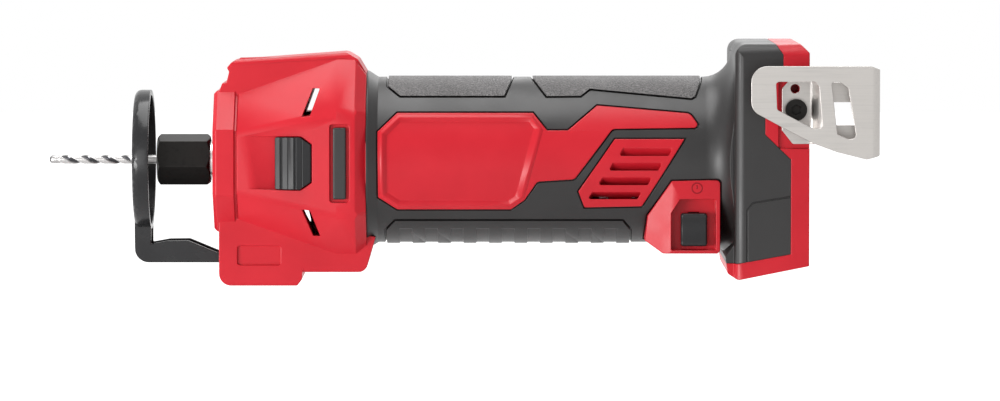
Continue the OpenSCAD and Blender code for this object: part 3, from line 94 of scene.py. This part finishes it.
def add_object(name, data):
    """Object of a mesh, lamp or camera, put in the scene."""
    made = bpy.data.objects.new(name, data)
    bpy.context.scene.collection.objects.link(made)
    return made


def add_camera():
    """Camera straight at the switch side, a little above the spindle axis."""
    distance = 2.0
    raised = math.radians(3.3)
    width_seen = 0.356
    target = Vector((0.1296, 0.0, -0.0147))
    data = bpy.data.cameras.new("photo_camera")
    data.sensor_width = 36
    data.lens = data.sensor_width * distance / width_seen
    data.clip_start = 0.05
    data.clip_end = 60
    camera = add_object("photo_camera", data)
    camera.location = target + distance * Vector((0, -math.cos(raised), math.sin(raised)))
    aim(camera, target)
    bpy.context.scene.camera = camera


def add_softbox(name, place, size, power, at=(0.12, 0, 0)):
    """Soft rectangular lamp, in metres and watts, aimed at the middle of the tool."""
    data = bpy.data.lights.new(name, "AREA")
    data.shape = "RECTANGLE"
    data.size, data.size_y = size
    data.energy = power
    lamp = add_object(name, data)
    lamp.location = place
    aim(lamp, at)


def tree_of(owner):
    """Node tree of a material or world, emptied."""
    owner.use_nodes = True
    owner.node_tree.nodes.clear()
    return owner.node_tree


def feed(tree, value, socket):
    """Sets a value on a socket, or links another socket to it."""
    if isinstance(value, bpy.types.NodeSocket):
        tree.links.new(value, socket)
    else:
        socket.default_value = value


def node(tree, kind, settings=None, **inputs):
    """One shader node. Inputs are named by socket, or i0, i1 and so on by place, and are values or links."""
    made = tree.nodes.new("ShaderNode" + kind)
    for key, value in (settings or {}).items():
        setattr(made, key, value)
    for key, value in inputs.items():
        by_place = key[0] == "i" and key[1:].isdigit()
        feed(tree, value, made.inputs[int(key[1:]) if by_place else key.replace("_", " ")])
    return made


def calculate(tree, operation, *values):
    """Result of a sum such as MULTIPLY on values or links."""
    inputs = {f"i{place}": value for place, value in enumerate(values)}
    return node(tree, "Math", {"operation": operation}, **inputs).outputs[0]


def ramp(tree, value, start, end, low=0.0, high=1.0):
    """Goes from low to high while the value goes from start to end, and stays level beyond them."""
    made = node(tree, "MapRange", Value=value, From_Min=start, From_Max=end, To_Min=low, To_Max=high)
    return made.outputs[0]


def background_rays(tree):
    """1 for the rays that look at the background: camera, glossy and transmission rays."""
    rays = node(tree, "LightPath").outputs
    seen = rays["Is Camera Ray"]
    for kind in ("Is Glossy Ray", "Is Transmission Ray"):
        seen = calculate(tree, "MAXIMUM", seen, rays[kind])
    return seen


def add_world():
    """White where it is looked at, and a plain grey sky for light."""
    world = bpy.data.worlds.new("white_room")
    bpy.context.scene.world = world
    tree = tree_of(world)
    strength = ramp(tree, background_rays(tree), 0.0, 1.0, SKY_LEVEL)
    sky = node(tree, "Background", Color=(1, 1, 1, 1), Strength=strength)
    node(tree, "OutputWorld", Surface=sky.outputs[0])


def add_floor():
    """Round pale floor below the tool. A glow for looking rays, low near the shadow, takes it to white."""
    middle, reach = 0.12, 4.0
    shadow_end, white_from = 0.35, 0.95
    turns = np.linspace(0, 2 * np.pi, 96, endpoint=False)
    rim = np.stack([middle + reach * np.cos(turns), reach * np.sin(turns), np.full_like(turns, FLOOR_Z)], 1)
    mesh = bpy.data.meshes.new("floor")
    mesh.from_pydata(rim.tolist(), [], [list(range(len(turns)))])
    floor = add_object("floor", mesh)
    paint = bpy.data.materials.new("pale_floor")
    tree = tree_of(paint)
    matt = node(tree, "BsdfDiffuse", Color=(0.86, 0.86, 0.86, 1))
    place = node(tree, "TexCoord").outputs["Object"]
    away = node(tree, "VectorMath", {"operation": "LENGTH"}, i0=place)
    rise = ramp(tree, away.outputs["Value"], shadow_end, white_from, FLOOR_GLOW)
    strength = calculate(tree, "MULTIPLY", background_rays(tree), rise)
    glow = node(tree, "Emission", Color=(1, 1, 1, 1), Strength=strength)
    both = node(tree, "AddShader", i0=matt.outputs[0], i1=glow.outputs[0])
    node(tree, "OutputMaterial", Surface=both.outputs[0])
    mesh.materials.append(paint)


bpy.context.scene.view_settings.view_transform = "Standard"
add_camera()
add_world()
add_floor()
add_softbox("top_softbox", (-0.05, -0.05, 1.10), (1.1, 0.65), 12.5)
add_softbox("front_softbox", (-0.62, -0.66, -0.04), (0.5, 0.2), 7)
add_softbox("fill_softbox", (-0.45, -1.50, 0.10), (0.5, 0.8), 3.5)
add_softbox("rear_softbox", (0.45, 0.90, 0.55), (0.9, 0.5), 3)


# Shared surface effects

def new_group(name, inputs, outputs):
    """Shader node group with named sockets. Inputs are (name, kind, value)."""
    made = bpy.data.node_groups.new(name, "ShaderNodeTree")
    for label, kind, value in inputs:
        socket = made.interface.new_socket(label, in_out="INPUT", socket_type="NodeSocket" + kind)
        if value is not None:
            socket.default_value = value
    for label, kind in outputs:
        made.interface.new_socket(label, in_out="OUTPUT", socket_type="NodeSocket" + kind)
    return made, made.nodes.new("NodeGroupInput"), made.nodes.new("NodeGroupOutput")


def spread(tree, value, low, high):
    """Takes a noise value, which keeps near a half, out to the range from low to high."""
    return ramp(tree, value, 0.3, 0.7, low, high)


def from_axis(tree, place):
    """A place's coordinates taken apart, and its distance from the spindle axis."""
    apart = node(tree, "SeparateXYZ", Vector=place).outputs
    across = node(tree, "CombineXYZ", Y=apart["Y"], Z=apart["Z"])
    radius = node(tree, "VectorMath", {"operation": "LENGTH"}, i0=across.outputs[0])
    return apart, radius.outputs["Value"]


def make_mould_grain():
    """Spark texture of a mould, and the slow change of gloss over a moulding."""
    made, given, out = new_group(
        "mould_grain",
        [("Vector", "Vector", None), ("Grain", "Float", 5200.0), ("Patch", "Float", 55.0)],
        [("Height", "Float"), ("Tone", "Float")],
    )
    fine = node(made, "TexNoise", Vector=given.outputs["Vector"], Scale=given.outputs["Grain"], Detail=2.0)
    slow = node(made, "TexNoise", Vector=given.outputs["Vector"], Scale=given.outputs["Patch"], Detail=3.0)
    made.links.new(fine.outputs[0], out.inputs["Height"])
    made.links.new(spread(made, slow.outputs[0], 0.0, 1.0), out.inputs["Tone"])
    return made


def make_brushing():
    """Long fine scratches: noise drawn out along an axis by its stretch, with patches that shift its tone."""
    patchiness = 0.35
    made, given, out = new_group(
        "brushing",
        [("Vector", "Vector", None), ("Stretch", "Vector", (40.0, 2600.0, 2600.0)), ("Patch", "Float", 60.0)],
        [("Height", "Float"), ("Tone", "Float")],
    )
    place = given.outputs["Vector"]
    drawn = node(made, "VectorMath", {"operation": "MULTIPLY"}, i0=place, i1=given.outputs["Stretch"])
    lines = node(made, "TexNoise", Vector=drawn.outputs[0], Scale=1.0, Detail=3.0)
    slow = node(made, "TexNoise", Vector=place, Scale=given.outputs["Patch"], Detail=2.0)
    both = calculate(made, "MULTIPLY_ADD", slow.outputs[0], patchiness, lines.outputs[0])
    made.links.new(lines.outputs[0], out.inputs["Height"])
    made.links.new(spread(made, both, 0.0, 1.0), out.inputs["Tone"])
    return made


def make_pad_stipple():
    """Small close bumps, faded in by the mask where the grip's pads stand proud of the handle.

    The mask is 1 on the upper part of the handle, from behind the head up to the sweep of the foot.
    """
    made, given, out = new_group(
        "pad_stipple",
        [("Vector", "Vector", None), ("Scale", "Float", 1500.0)],
        [("Height", "Float"), ("Mask", "Float")],
    )
    place = given.outputs["Vector"]
    apart, radius = from_axis(made, place)
    mask = ramp(made, radius, (HANDLE_R + 0.15) * MM, (HANDLE_R + 0.25) * MM)
    for axis, start, end in (
        ("Z", 15, 16),
        ("X", FOOT_X - FOOT_SWEEP + 0.5, FOOT_X - FOOT_SWEEP - 0.5),
        ("X", HEAD_REAR + 6.5, HEAD_REAR + 7),
    ):
        mask = calculate(made, "MULTIPLY", mask, ramp(made, apart[axis], start * MM, end * MM))
    cells = node(made, "TexVoronoi", {"feature": "F1"}, Vector=place, Scale=given.outputs["Scale"])
    made.links.new(calculate(made, "MULTIPLY", cells.outputs["Distance"], mask), out.inputs["Height"])
    made.links.new(mask, out.inputs["Mask"])
    return made


MOULD_GRAIN = make_mould_grain()
BRUSHING = make_brushing()
PAD_STIPPLE = make_pad_stipple()


def place_group(tree, which, **inputs):
    """A shared effect placed in a material, with values or links for its inputs."""
    return node(tree, "Group", {"node_tree": which}, **inputs)


def mix_colour(tree, share, first, second):
    """Colour at a share of the way between two others, each a link or red, green and blue."""
    made = node(tree, "Mix", {"data_type": "RGBA"}, i0=share)
    for place, colour in ((6, first), (7, second)):
        linked = isinstance(colour, bpy.types.NodeSocket)
        feed(tree, colour if linked else (*colour, 1), made.inputs[place])
    return made.outputs[2]


def start_material(name):
    """New material with its tree, the coordinates that its patterns lie on, and its shader."""
    made = bpy.data.materials.new(name)
    tree = tree_of(made)
    place = node(tree, "TexCoord").outputs["Object"]
    surface = node(tree, "BsdfPrincipled")
    node(tree, "OutputMaterial", Surface=surface.outputs[0])
    return made, tree, place, surface


def set_tone(tree, surface, tone, dark, light, gloss):
    """Lets a tone shift the colour from dark to light, and the roughness over the range of the gloss."""
    tree.links.new(mix_colour(tree, tone, dark, light), surface.inputs["Base Color"])
    tree.links.new(spread(tree, tone, *gloss), surface.inputs["Roughness"])


def set_bump(tree, surface, height, depth):
    """Bump from a height of 0 to 1 that stands for the given depth in millimetres."""
    bump = node(tree, "Bump", Height=height, Distance=depth * MM, Strength=1.0)
    tree.links.new(bump.outputs[0], surface.inputs["Normal"])


def moulded(name, dark, light, gloss, grain=5200.0, depth=0.012, specular=0.5):
    """Moulded plastic: a slow shift between two near colours and of gloss, over a fine spark texture."""
    made, tree, place, surface = start_material(name)
    skin = place_group(tree, MOULD_GRAIN, Vector=place, Grain=grain)
    set_tone(tree, surface, skin.outputs["Tone"], dark, light, gloss)
    surface.inputs["Specular IOR Level"].default_value = specular
    set_bump(tree, surface, skin.outputs["Height"], depth)
    return made


def rubber(name, dark, light, gloss):
    """Soft overmould: matt and fine grained, with the stippled pads on its raised parts.

    The stipple is painted lighter than the rubber, as a painted sheen of the light from above on the top
    pads, and the pads are a little rougher.
    """
    sheen_lift, painted_sheen, rougher = 10.2, 0.9, 0.08
    made, tree, place, surface = start_material(name)
    skin = place_group(tree, MOULD_GRAIN, Vector=place, Grain=3800.0)
    pads = place_group(tree, PAD_STIPPLE, Vector=place)
    base = mix_colour(tree, skin.outputs["Tone"], dark, light)
    # Painted sheen: the stipple's height paints the top pads lighter, in place of the light from above.
    sheen_share = calculate(tree, "MULTIPLY", pads.outputs["Height"], painted_sheen)
    colour = mix_colour(tree, sheen_share, base, [sheen_lift * part for part in light])
    tree.links.new(colour, surface.inputs["Base Color"])
    level = spread(tree, skin.outputs["Tone"], *gloss)
    rough = calculate(tree, "MULTIPLY_ADD", pads.outputs["Mask"], rougher, level)
    tree.links.new(rough, surface.inputs["Roughness"])
    surface.inputs["Specular IOR Level"].default_value = 0.45
    grain = node(tree, "Bump", Height=skin.outputs["Height"], Distance=0.014 * MM)
    stipple = node(tree, "Bump", Height=pads.outputs["Height"], Distance=0.22 * MM, Normal=grain.outputs[0])
    tree.links.new(stipple.outputs[0], surface.inputs["Normal"])
    return made


def brushed(name, dark, light, gloss, stretch):
    """Bare metal with drawn out scratches that shift its colour, gloss and bump."""
    made, tree, place, surface = start_material(name)
    lines = place_group(tree, BRUSHING, Vector=place, Stretch=stretch)
    set_tone(tree, surface, lines.outputs["Tone"], dark, light, gloss)
    surface.inputs["Metallic"].default_value = 1.0
    set_bump(tree, surface, lines.outputs["Height"], SCRATCH)
    return made


def enamel(name, dark, light, gloss):
    """Gloss paint on steel: a low orange peel under a clear coat."""
    made, tree, place, surface = start_material(name)
    skin = place_group(tree, MOULD_GRAIN, Vector=place, Grain=420.0, Patch=80.0)
    set_tone(tree, surface, skin.outputs["Tone"], dark, light, gloss)
    surface.inputs["Specular IOR Level"].default_value = 0.25
    surface.inputs["Coat Weight"].default_value = 0.12
    surface.inputs["Coat Roughness"].default_value = 0.08
    set_bump(tree, surface, skin.outputs["Height"], 0.02)
    return made


def fluted_steel(name):
    """Ground steel of a bit, with painted shade that darkens it from its lands down to the bottom of its
    flutes.
    """
    made, tree, place, surface = start_material(name)
    lines = place_group(tree, BRUSHING, Vector=place, Stretch=TURNED)
    tone = lines.outputs["Tone"]
    # Painted shade: below the lands the colour goes near black towards the bottom of the flutes.
    land = ramp(tree, from_axis(tree, place)[1], 1.0 * MM, 1.5 * MM)
    ground = mix_colour(tree, tone, (0.41, 0.40, 0.395), (0.50, 0.49, 0.485))
    tree.links.new(mix_colour(tree, land, (0.05, 0.05, 0.055), ground), surface.inputs["Base Color"])
    tree.links.new(spread(tree, tone, 0.24, 0.34), surface.inputs["Roughness"])
    surface.inputs["Metallic"].default_value = 1.0
    set_bump(tree, surface, lines.outputs["Height"], SCRATCH)
    return made


def clear_plastic(name):
    """Clear lens with faint flow marks."""
    made, tree, place, surface = start_material(name)
    skin = place_group(tree, MOULD_GRAIN, Vector=place, Grain=900.0)
    tint = mix_colour(tree, skin.outputs["Tone"], (0.90, 0.92, 0.93), (0.97, 0.98, 0.98))
    tree.links.new(tint, surface.inputs["Base Color"])
    surface.inputs["Roughness"].default_value = 0.12
    surface.inputs["Transmission Weight"].default_value = 0.55
    surface.inputs["IOR"].default_value = 1.49
    set_bump(tree, surface, skin.outputs["Height"], 0.02)
    return made


# Depth of a scratch in millimetres, and the stretch of scratches that run round a turned piece
SCRATCH = 0.004
TURNED = (2600.0, 300.0, 300.0)

FINISHES = {
    "red_plastic": moulded(
        "red_moulding", (0.49, 0.010, 0.020), (0.54, 0.013, 0.024), (0.32, 0.39), specular=0.25,
    ),
    "soft_grip": rubber("soft_grip", (0.010, 0.009, 0.009), (0.014, 0.013, 0.013), (0.38, 0.44)),
    "black_plastic": moulded(
        "black_moulding", (0.012, 0.012, 0.013), (0.017, 0.017, 0.018), (0.38, 0.46), specular=0.28,
    ),
    "black_steel": enamel("black_enamel", (0.010, 0.010, 0.011), (0.014, 0.014, 0.015), (0.20, 0.28)),
    "black_oxide": brushed(
        "black_oxide", (0.014, 0.013, 0.013), (0.021, 0.020, 0.019), (0.30, 0.42), (600.0, 600.0, 600.0),
    ),
    "clip_steel": brushed(
        "clip_steel", (0.38, 0.365, 0.35), (0.445, 0.425, 0.405), (0.30, 0.40), (60.0, 2600.0, 2600.0),
    ),
    "bright_steel": brushed("bright_steel", (0.56, 0.55, 0.54), (0.68, 0.67, 0.66), (0.22, 0.32), TURNED),
    "core_steel": brushed(
        "core_laminations", (0.26, 0.26, 0.27), (0.38, 0.38, 0.39), (0.40, 0.52), (2000.0, 60.0, 60.0),
    ),
    "magnet": moulded(
        "magnet_ceramic", (0.045, 0.045, 0.050), (0.070, 0.070, 0.075), (0.55, 0.66), 2200.0, 0.03,
    ),
    "copper": brushed(
        "copper_wire", (0.52, 0.22, 0.11), (0.70, 0.34, 0.18), (0.28, 0.38), (120.0, 2400.0, 2400.0),
    ),
    "brass": brushed(
        "brass_blades", (0.62, 0.44, 0.18), (0.74, 0.55, 0.26), (0.26, 0.36), (900.0, 900.0, 90.0),
    ),
    "carbon": moulded(
        "brush_carbon", (0.030, 0.030, 0.032), (0.055, 0.055, 0.058), (0.50, 0.62), 3000.0, 0.03,
    ),
    "board_green": moulded(
        "board_mask", (0.012, 0.070, 0.030), (0.020, 0.100, 0.045), (0.32, 0.42), 900.0, 0.02,
    ),
    "lamp_board": moulded("lamp_board", (0.70, 0.68, 0.58), (0.78, 0.76, 0.66), (0.40, 0.50), 900.0, 0.02),
    "clear_lens": clear_plastic("clear_lens"),
    "felt": moulded("seal_felt", (0.11, 0.10, 0.09), (0.16, 0.15, 0.14), (0.85, 0.95), 1500.0, 0.12),
    "wire_red": moulded(
        "wire_cover", (0.45, 0.025, 0.025), (0.52, 0.035, 0.035), (0.36, 0.44), 2600.0, 0.01,
    ),
}

SIGN_RED = moulded("sign_red", (0.25, 0.004, 0.010), (0.30, 0.006, 0.013), (0.40, 0.48), specular=0.2)

NODE_FINISH = {
    "red_plastic": ["left_housing", "right_housing"],
    "soft_grip": ["left_grip", "right_grip", "head_pads", "rear_bearing_boot"],
    "black_plastic": [
        "spindle_lock_button", "power_switch_button", "switch_module", "terminal_block", "cooling_fan",
        "brush_holder",
    ],
    "black_steel": ["depth_guide", "guide_lever"],
    "black_oxide": ["collet_nut", "belt_clip_screw", "housing_screws"],
    "clip_steel": ["belt_clip"],
    "bright_steel": [
        "cutting_bit", "collet", "rotor_shaft", "lock_collar", "spindle_lock_dog", "lever_pin", "motor_can",
        "front_bearing_outer_ring", "front_bearing_inner_ring", "front_bearing_balls",
        "rear_bearing_outer_ring", "rear_bearing_inner_ring", "rear_bearing_balls", "brush_springs",
    ],
    "core_steel": ["rotor_core"],
    "magnet": ["motor_magnets"],
    "copper": ["rotor_windings", "commutator"],
    "brass": ["battery_terminals", "clip_inserts"],
    "carbon": ["carbon_brushes"],
    "board_green": ["control_board"],
    "lamp_board": ["led_board"],
    "clear_lens": ["led_lens"],
    "felt": ["spindle_seal"],
    "wire_red": ["lead_wires"],
}
FINISH_OF = {name: finish for finish, names in NODE_FINISH.items() for name in names}

for name, solid in nodes.items():
    solid.data.materials.clear()
    solid.data.materials.append(FINISHES[FINISH_OF[name]])


# Rounded edges on the solids that show

def show(name, mesh, body, finish, replaced=None, paint=None):
    """Puts a finished mesh in the scene, on its body and with its finish, or a paint of its own."""
    mesh.materials.clear()
    mesh.materials.append(paint or FINISHES[finish])
    piece = add_object(name, mesh)
    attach(piece, body)
    if replaced:
        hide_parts(replaced)


def whole_faces(solid):
    """Mesh copy of a solid with its loose triangles joined, and flat faces divided again without slivers."""
    touching = 2e-6
    flat = math.radians(0.5)
    work = bmesh.new()
    work.from_mesh(solid.data)
    bmesh.ops.remove_doubles(work, verts=work.verts, dist=touching)
    bmesh.ops.dissolve_degenerate(work, dist=touching, edges=work.edges)
    bmesh.ops.dissolve_limit(work, angle_limit=flat, verts=work.verts, edges=work.edges)
    many_sided = [face for face in work.faces if len(face.verts) > 4]
    bmesh.ops.triangulate(work, faces=many_sided, ngon_method="BEAUTY")
    mesh = bpy.data.meshes.new(solid.name + "_faces")
    work.to_mesh(mesh)
    work.free()
    mesh.shade_smooth()
    return mesh


def weigh_distance(draft, group, solid, none, whole):
    """Weighs the points of a group by how far they lie from a solid: none to whole, in millimetres."""
    made = draft.modifiers.new(group.name + "_points", "VERTEX_WEIGHT_PROXIMITY")
    made.vertex_group = group.name
    made.target = solid
    made.proximity_mode = "GEOMETRY"
    made.proximity_geometry = {"FACE"}
    made.min_dist = none * MM
    made.max_dist = whole * MM


def bake(draft):
    """Mesh of an object with its modifiers applied."""
    now = bpy.context.evaluated_depsgraph_get()
    done = draft.evaluated_get(now)
    return bpy.data.meshes.new_from_object(done, preserve_all_data_layers=True, depsgraph=now)


def inside(tree, place):
    """Whether a place is in a closed solid: a ray from it then leaves through an odd number of faces."""
    along = Vector((0.31, 0.52, 0.79)).normalized()
    step = 1e-6
    crossings = 0
    hit = tree.ray_cast(place, along)[0]
    while hit is not None:
        crossings += 1
        hit = tree.ray_cast(hit + step * along, along)[0]
    return crossings % 2 == 1


def turn_folds(mesh, solid):
    """Turns round the faces that a rounding folded over.

    Such a face has its normal against that of the nearest place on the solid, and just past the solid's
    surface it has the solid ahead of it and open space behind.
    """
    past = 2e-5
    against = -0.3
    nearest = BVHTree.FromObject(solid, bpy.context.evaluated_depsgraph_get())
    work = bmesh.new()
    work.from_mesh(mesh)
    folded = []
    for face in work.faces:
        centre = face.calc_center_median()
        _, outward, _, gap = nearest.find_nearest(centre)
        if outward.dot(face.normal) < against:
            reach = (gap + past) * face.normal
            if inside(nearest, centre + reach) and not inside(nearest, centre - reach):
                folded.append(face)
    bmesh.ops.reverse_faces(work, faces=folded)
    work.to_mesh(mesh)
    work.free()
    return mesh


def read_vectors(items, field):
    """Vectors of a mesh's points, corners or faces, one in each row."""
    values = np.empty(3 * len(items))
    items.foreach_get(field, values)
    return values.reshape(-1, 3)


def smooth_sweep(mesh):
    """Gives the points on the sweep from the handle up to the foot its true normals.

    The sweep is a quarter of a circle turned about the X axis, so its normal runs from a point to the
    circle's centre. Only corners whose face lies along the sweep take it, which leaves grooves and edges as
    they are.
    """
    same_way = 0.95
    off_circle = 0.12
    past_ends = 0.05
    corners = np.empty(len(mesh.loops), dtype=int)
    mesh.loops.foreach_get("vertex_index", corners)
    sides = np.empty(len(mesh.polygons), dtype=int)
    mesh.polygons.foreach_get("loop_total", sides)
    faces = np.repeat(read_vectors(mesh.polygons, "normal"), sides, axis=0)
    normals = read_vectors(mesh.corner_normals, "vector")
    x, y, z = read_vectors(mesh.vertices, "co")[corners].T / MM
    radius = np.hypot(y, z)
    back = FOOT_X - FOOT_SWEEP - x
    out = HANDLE_R + FOOT_SWEEP - radius
    reach = np.hypot(back, out)
    true = np.stack([back, out * y / radius, out * z / radius], axis=1) / reach[:, None]
    along = np.sum(true * faces, axis=1) > same_way
    on_circle = np.abs(reach - FOOT_SWEEP) < off_circle
    swept = along & on_circle & (back < past_ends) & (out > -past_ends)
    normals[swept] = true[swept]
    mesh.normals_split_custom_set(normals)


def round_edges(solid_name, width):
    """Copy of a solid with a rounding along each sharp edge.

    The rounding cuts each edge back by the width. Where short edges crowd a corner it can throw a point
    off the solid, so points further than half a width from it go back to the nearest place on it. Points that
    lie on the solid take its own normals, so its round faces stay smooth.
    """
    sharp = math.radians(30)
    solid = nodes[solid_name]
    draft = add_object(solid_name + "_draft", whole_faces(solid))
    stray, kept = (draft.vertex_groups.new(name=label) for label in ("stray", "kept"))
    for group in (stray, kept):
        group.add(range(len(draft.data.vertices)), 1.0, "REPLACE")
    edge = draft.modifiers.new("edge_rounding", "BEVEL")
    edge.width = width * MM
    edge.segments = 2
    edge.limit_method = "ANGLE"
    edge.angle_limit = sharp
    edge.use_clamp_overlap = False
    edge.loop_slide = False
    weigh_distance(draft, stray, solid, 0.5 * width, 0.6 * width)
    back = draft.modifiers.new("back_to_the_solid", "SHRINKWRAP")
    back.target = solid
    back.vertex_group = stray.name
    draft.data = turn_folds(bake(draft), solid)
    draft.modifiers.clear()
    flat = draft.modifiers.new("flat_faces", "WEIGHTED_NORMAL")
    flat.weight = 80
    weigh_distance(draft, kept, solid, 0.008, 0.002)
    smooth = draft.modifiers.new("normals_of_the_solid", "DATA_TRANSFER")
    smooth.object = solid
    smooth.vertex_group = kept.name
    smooth.use_loop_data = True
    smooth.data_types_loops = {"CUSTOM_NORMAL"}
    smooth.loop_mapping = "POLYINTERP_NEAREST"
    mesh = bake(draft)
    if solid_name.endswith("grip"):
        smooth_sweep(mesh)
    bpy.data.objects.remove(draft)
    show(solid_name + "_rounded", mesh, solid["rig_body"], FINISH_OF[solid_name], solid_name)


EDGE_WIDTHS = {
    "left_housing": 0.30, "right_housing": 0.30, "left_grip": 0.20, "right_grip": 0.20, "head_pads": 0.60,
    "depth_guide": 0.30, "guide_lever": 0.30, "collet_nut": 0.28, "spindle_lock_button": 0.15,
    "power_switch_button": 0.80, "belt_clip": 0.22, "belt_clip_screw": 0.20, "housing_screws": 0.15,
    "terminal_block": 0.30, "battery_terminals": 0.12,
}
for name, width in EDGE_WIDTHS.items():
    round_edges(name, width)


# Surfaces worked out on grids

def grid_mesh(name, points):
    """Mesh of quads through points in rows by columns by 3, with the last column joined to the first."""
    rows, columns = points.shape[:2]
    left = np.arange(rows * columns).reshape(rows, columns)
    right = np.roll(left, -1, axis=1)
    quads = np.stack([left[:-1], left[1:], right[1:], right[:-1]], -1).reshape(-1, 4)
    mesh = bpy.data.meshes.new(name)
    mesh.from_pydata(points.reshape(-1, 3).tolist(), [], quads.tolist())
    work = bmesh.new()
    work.from_mesh(mesh)
    bmesh.ops.remove_doubles(work, verts=work.verts, dist=1e-7)
    bmesh.ops.recalc_face_normals(work, faces=work.faces)
    work.to_mesh(mesh)
    work.free()
    mesh.shade_smooth()
    return mesh


def inset_outline(corners, insets, per_edge):
    """Outline of a convex polygon, each edge moved in by its inset, with evenly spaced points along it.

    Corner k is where moved edge k-1 meets moved edge k: with unit edge directions u and inward normals n,
    it solves n.p = n.corner + inset for both edges.
    """
    ahead = np.roll(corners, -1, axis=0) - corners
    ahead /= np.linalg.norm(ahead, axis=1)[:, None]
    inward = np.stack([-ahead[:, 1], ahead[:, 0]], 1)
    offset = (inward * corners).sum(1) + insets
    rows = np.stack([np.roll(inward, 1, axis=0), inward], 1)
    sums = np.stack([np.roll(offset, 1), offset], 1)
    moved = np.linalg.solve(rows, sums[..., None])[..., 0]
    share = np.linspace(0, 1, per_edge, endpoint=False)[None, :, None]
    return (moved[:, None] * (1 - share) + np.roll(moved, -1, axis=0)[:, None] * share).reshape(-1, 2)


def ring(outline, radius):
    """Points of an outline, each with the radius of the cylinder that it lies on."""
    return np.column_stack([outline, np.full(len(outline), radius)])


def panel_field(name, side):
    """Bevelled rim and sunk plain field of a red handle panel, as rings carried in from the panel's outline.

    Ring k is the outline moved in by inset k times each edge's band, laid on a cylinder round the spindle
    axis: y = side * sqrt(radius_k^2 - z^2). The last rings shrink to the middle, and the first ones close
    the back.
    """
    corners = np.array([
        [HEAD_REAR + 4.3, -12], [HEAD_REAR + 11, -16.4], [FOOT_X - 78.2, -16.4], [FOOT_X - 73, -12.8],
        [FOOT_X - 66.2, 12], [FOOT_X - 70.5, 17.5], [HEAD_REAR + 11, 17.5], [HEAD_REAR + 4.1, 11],
    ])
    band = np.array([2.6, 2.6, 2.6, 3.4, 2.6, 2.6, 2.6, 2.6])
    rim = 0.55
    per_edge = 10
    under, top = FIELD_R - 0.3, FIELD_R + 0.06
    slope = [
        (0.0, under), (0.0, PANEL_R - 0.1), (0.05, PANEL_R + 0.05), (0.30, PANEL_R + 0.28),
        (0.38, PANEL_R + 0.30), (0.46, PANEL_R + 0.27), (0.94, FIELD_R + 0.16), (1.0, FIELD_R + 0.08),
        (1.1, top),
    ]
    rings = [ring(inset_outline(corners, rim + band * share, per_edge), radius) for share, radius in slope]
    outer, inner = rings[0][:, :2], rings[-1][:, :2]
    middle = inner.mean(0)
    back = [ring(middle + (outer - middle) * share, under) for share in (0.0, 0.5)]
    field = [ring(middle + (inner - middle) * share, top) for share in (0.75, 0.5, 0.25, 0.0)]
    flat = np.array(back + rings + field)
    depth = side * np.sqrt(flat[..., 2] ** 2 - flat[..., 1] ** 2)
    points = np.stack([flat[..., 0], depth, flat[..., 1]], -1) * MM
    show(name, grid_mesh(name, points), "housing", "red_plastic")


def bead(name, path, wire, face, ends=0.0):
    """Low half round bead along a path on a flat face.

    Round the path, at each of its points, goes a circle of the wire's radius, flattened to half across the
    face and shrunk at both ends of an open path: point + wire * cos(a) * normal, and
    y = -face - wire / 2 * sin(a).
    """
    ahead = np.gradient(path, axis=0)
    ahead /= np.linalg.norm(ahead, axis=1)[:, None]
    beside = np.stack([-ahead[:, 1], ahead[:, 0]], 1)
    turns = np.linspace(0, 2 * np.pi, 12, endpoint=False)
    size = np.full(len(path), wire)
    size[[0, -1]] = ends
    flat = path[:, None] + beside[:, None] * (size[:, None] * np.cos(turns))[..., None]
    depth = -face - 0.5 * size[:, None] * np.sin(turns)
    points = np.stack([flat[..., 0], depth, flat[..., 1]], -1) * MM
    show(name, grid_mesh(name, points), "housing", "red_plastic", paint=SIGN_RED)


def power_mark(centre, radius, wire):
    """Moulded power sign over the switch: a ring with a short bar inside it."""
    turns = np.linspace(0, 2 * np.pi, 73)
    circle = np.stack([np.cos(turns), np.sin(turns)], 1)
    bead("power_ring", centre + radius * circle, wire, POD_FACE, ends=wire)
    rise = np.array([-0.16, -0.14, 0.1, 0.4, 0.60, 0.62]) * radius
    bead("power_bar", centre + np.stack([0 * rise, rise], 1), wire, POD_FACE)


def fluted_bit():
    """Spiral cutting bit with two opposite flutes.

    Round each section at angle a the radius is r = R - D * max(0, sin(2 * (a - turn)))^0.6, where turn grows
    along X by one revolution a pitch, and the depth D fades to nothing at the plain point and at the shank.
    """
    shank_r, point_r, pitch = 1.5875, 1.42, 14.2
    deep, hollow = 0.78, 0.6
    first, run_in, last, run_out = -27.2, 0.9, 0.4, 3.2
    x = np.concatenate([
        [-30.5, -30.5, -30.3, -29.9, -28.0, -27.4], np.linspace(-27.1, 0.6, 220), [1.2, 3, 6, 12, 20, 31, 31],
    ])
    body = np.interp(x, [-30.5, -29.9, -27.3, -27.0, 31.0], [0.75, point_r, point_r, shank_r, shank_r])
    body[0] = body[-1] = 0.0
    fade = np.clip((x - first) / run_in, 0, 1) * np.clip((last - x) / run_out, 0, 1)
    angle = np.linspace(0, 2 * np.pi, 72, endpoint=False)[None, :]
    turn = (2 * np.pi * x / pitch)[:, None]
    valley = np.clip(np.sin(2 * (angle - turn)), 0, 1) ** hollow
    radius = body[:, None] - deep * fade[:, None] * valley * (body[:, None] > 0)
    points = np.stack([x[:, None] + 0 * angle, radius * np.cos(angle), radius * np.sin(angle)], -1) * MM
    mesh = grid_mesh("fluted_bit", points)
    show("fluted_bit", mesh, "spindle", "bright_steel", "cutting_bit", fluted_steel("fluted_steel"))


panel_field("left_panel_field", -1)
panel_field("right_panel_field", 1)
power_mark(np.array([FOOT_X - 13.0, -8.7]), 1.8, 0.24)
fluted_bit()
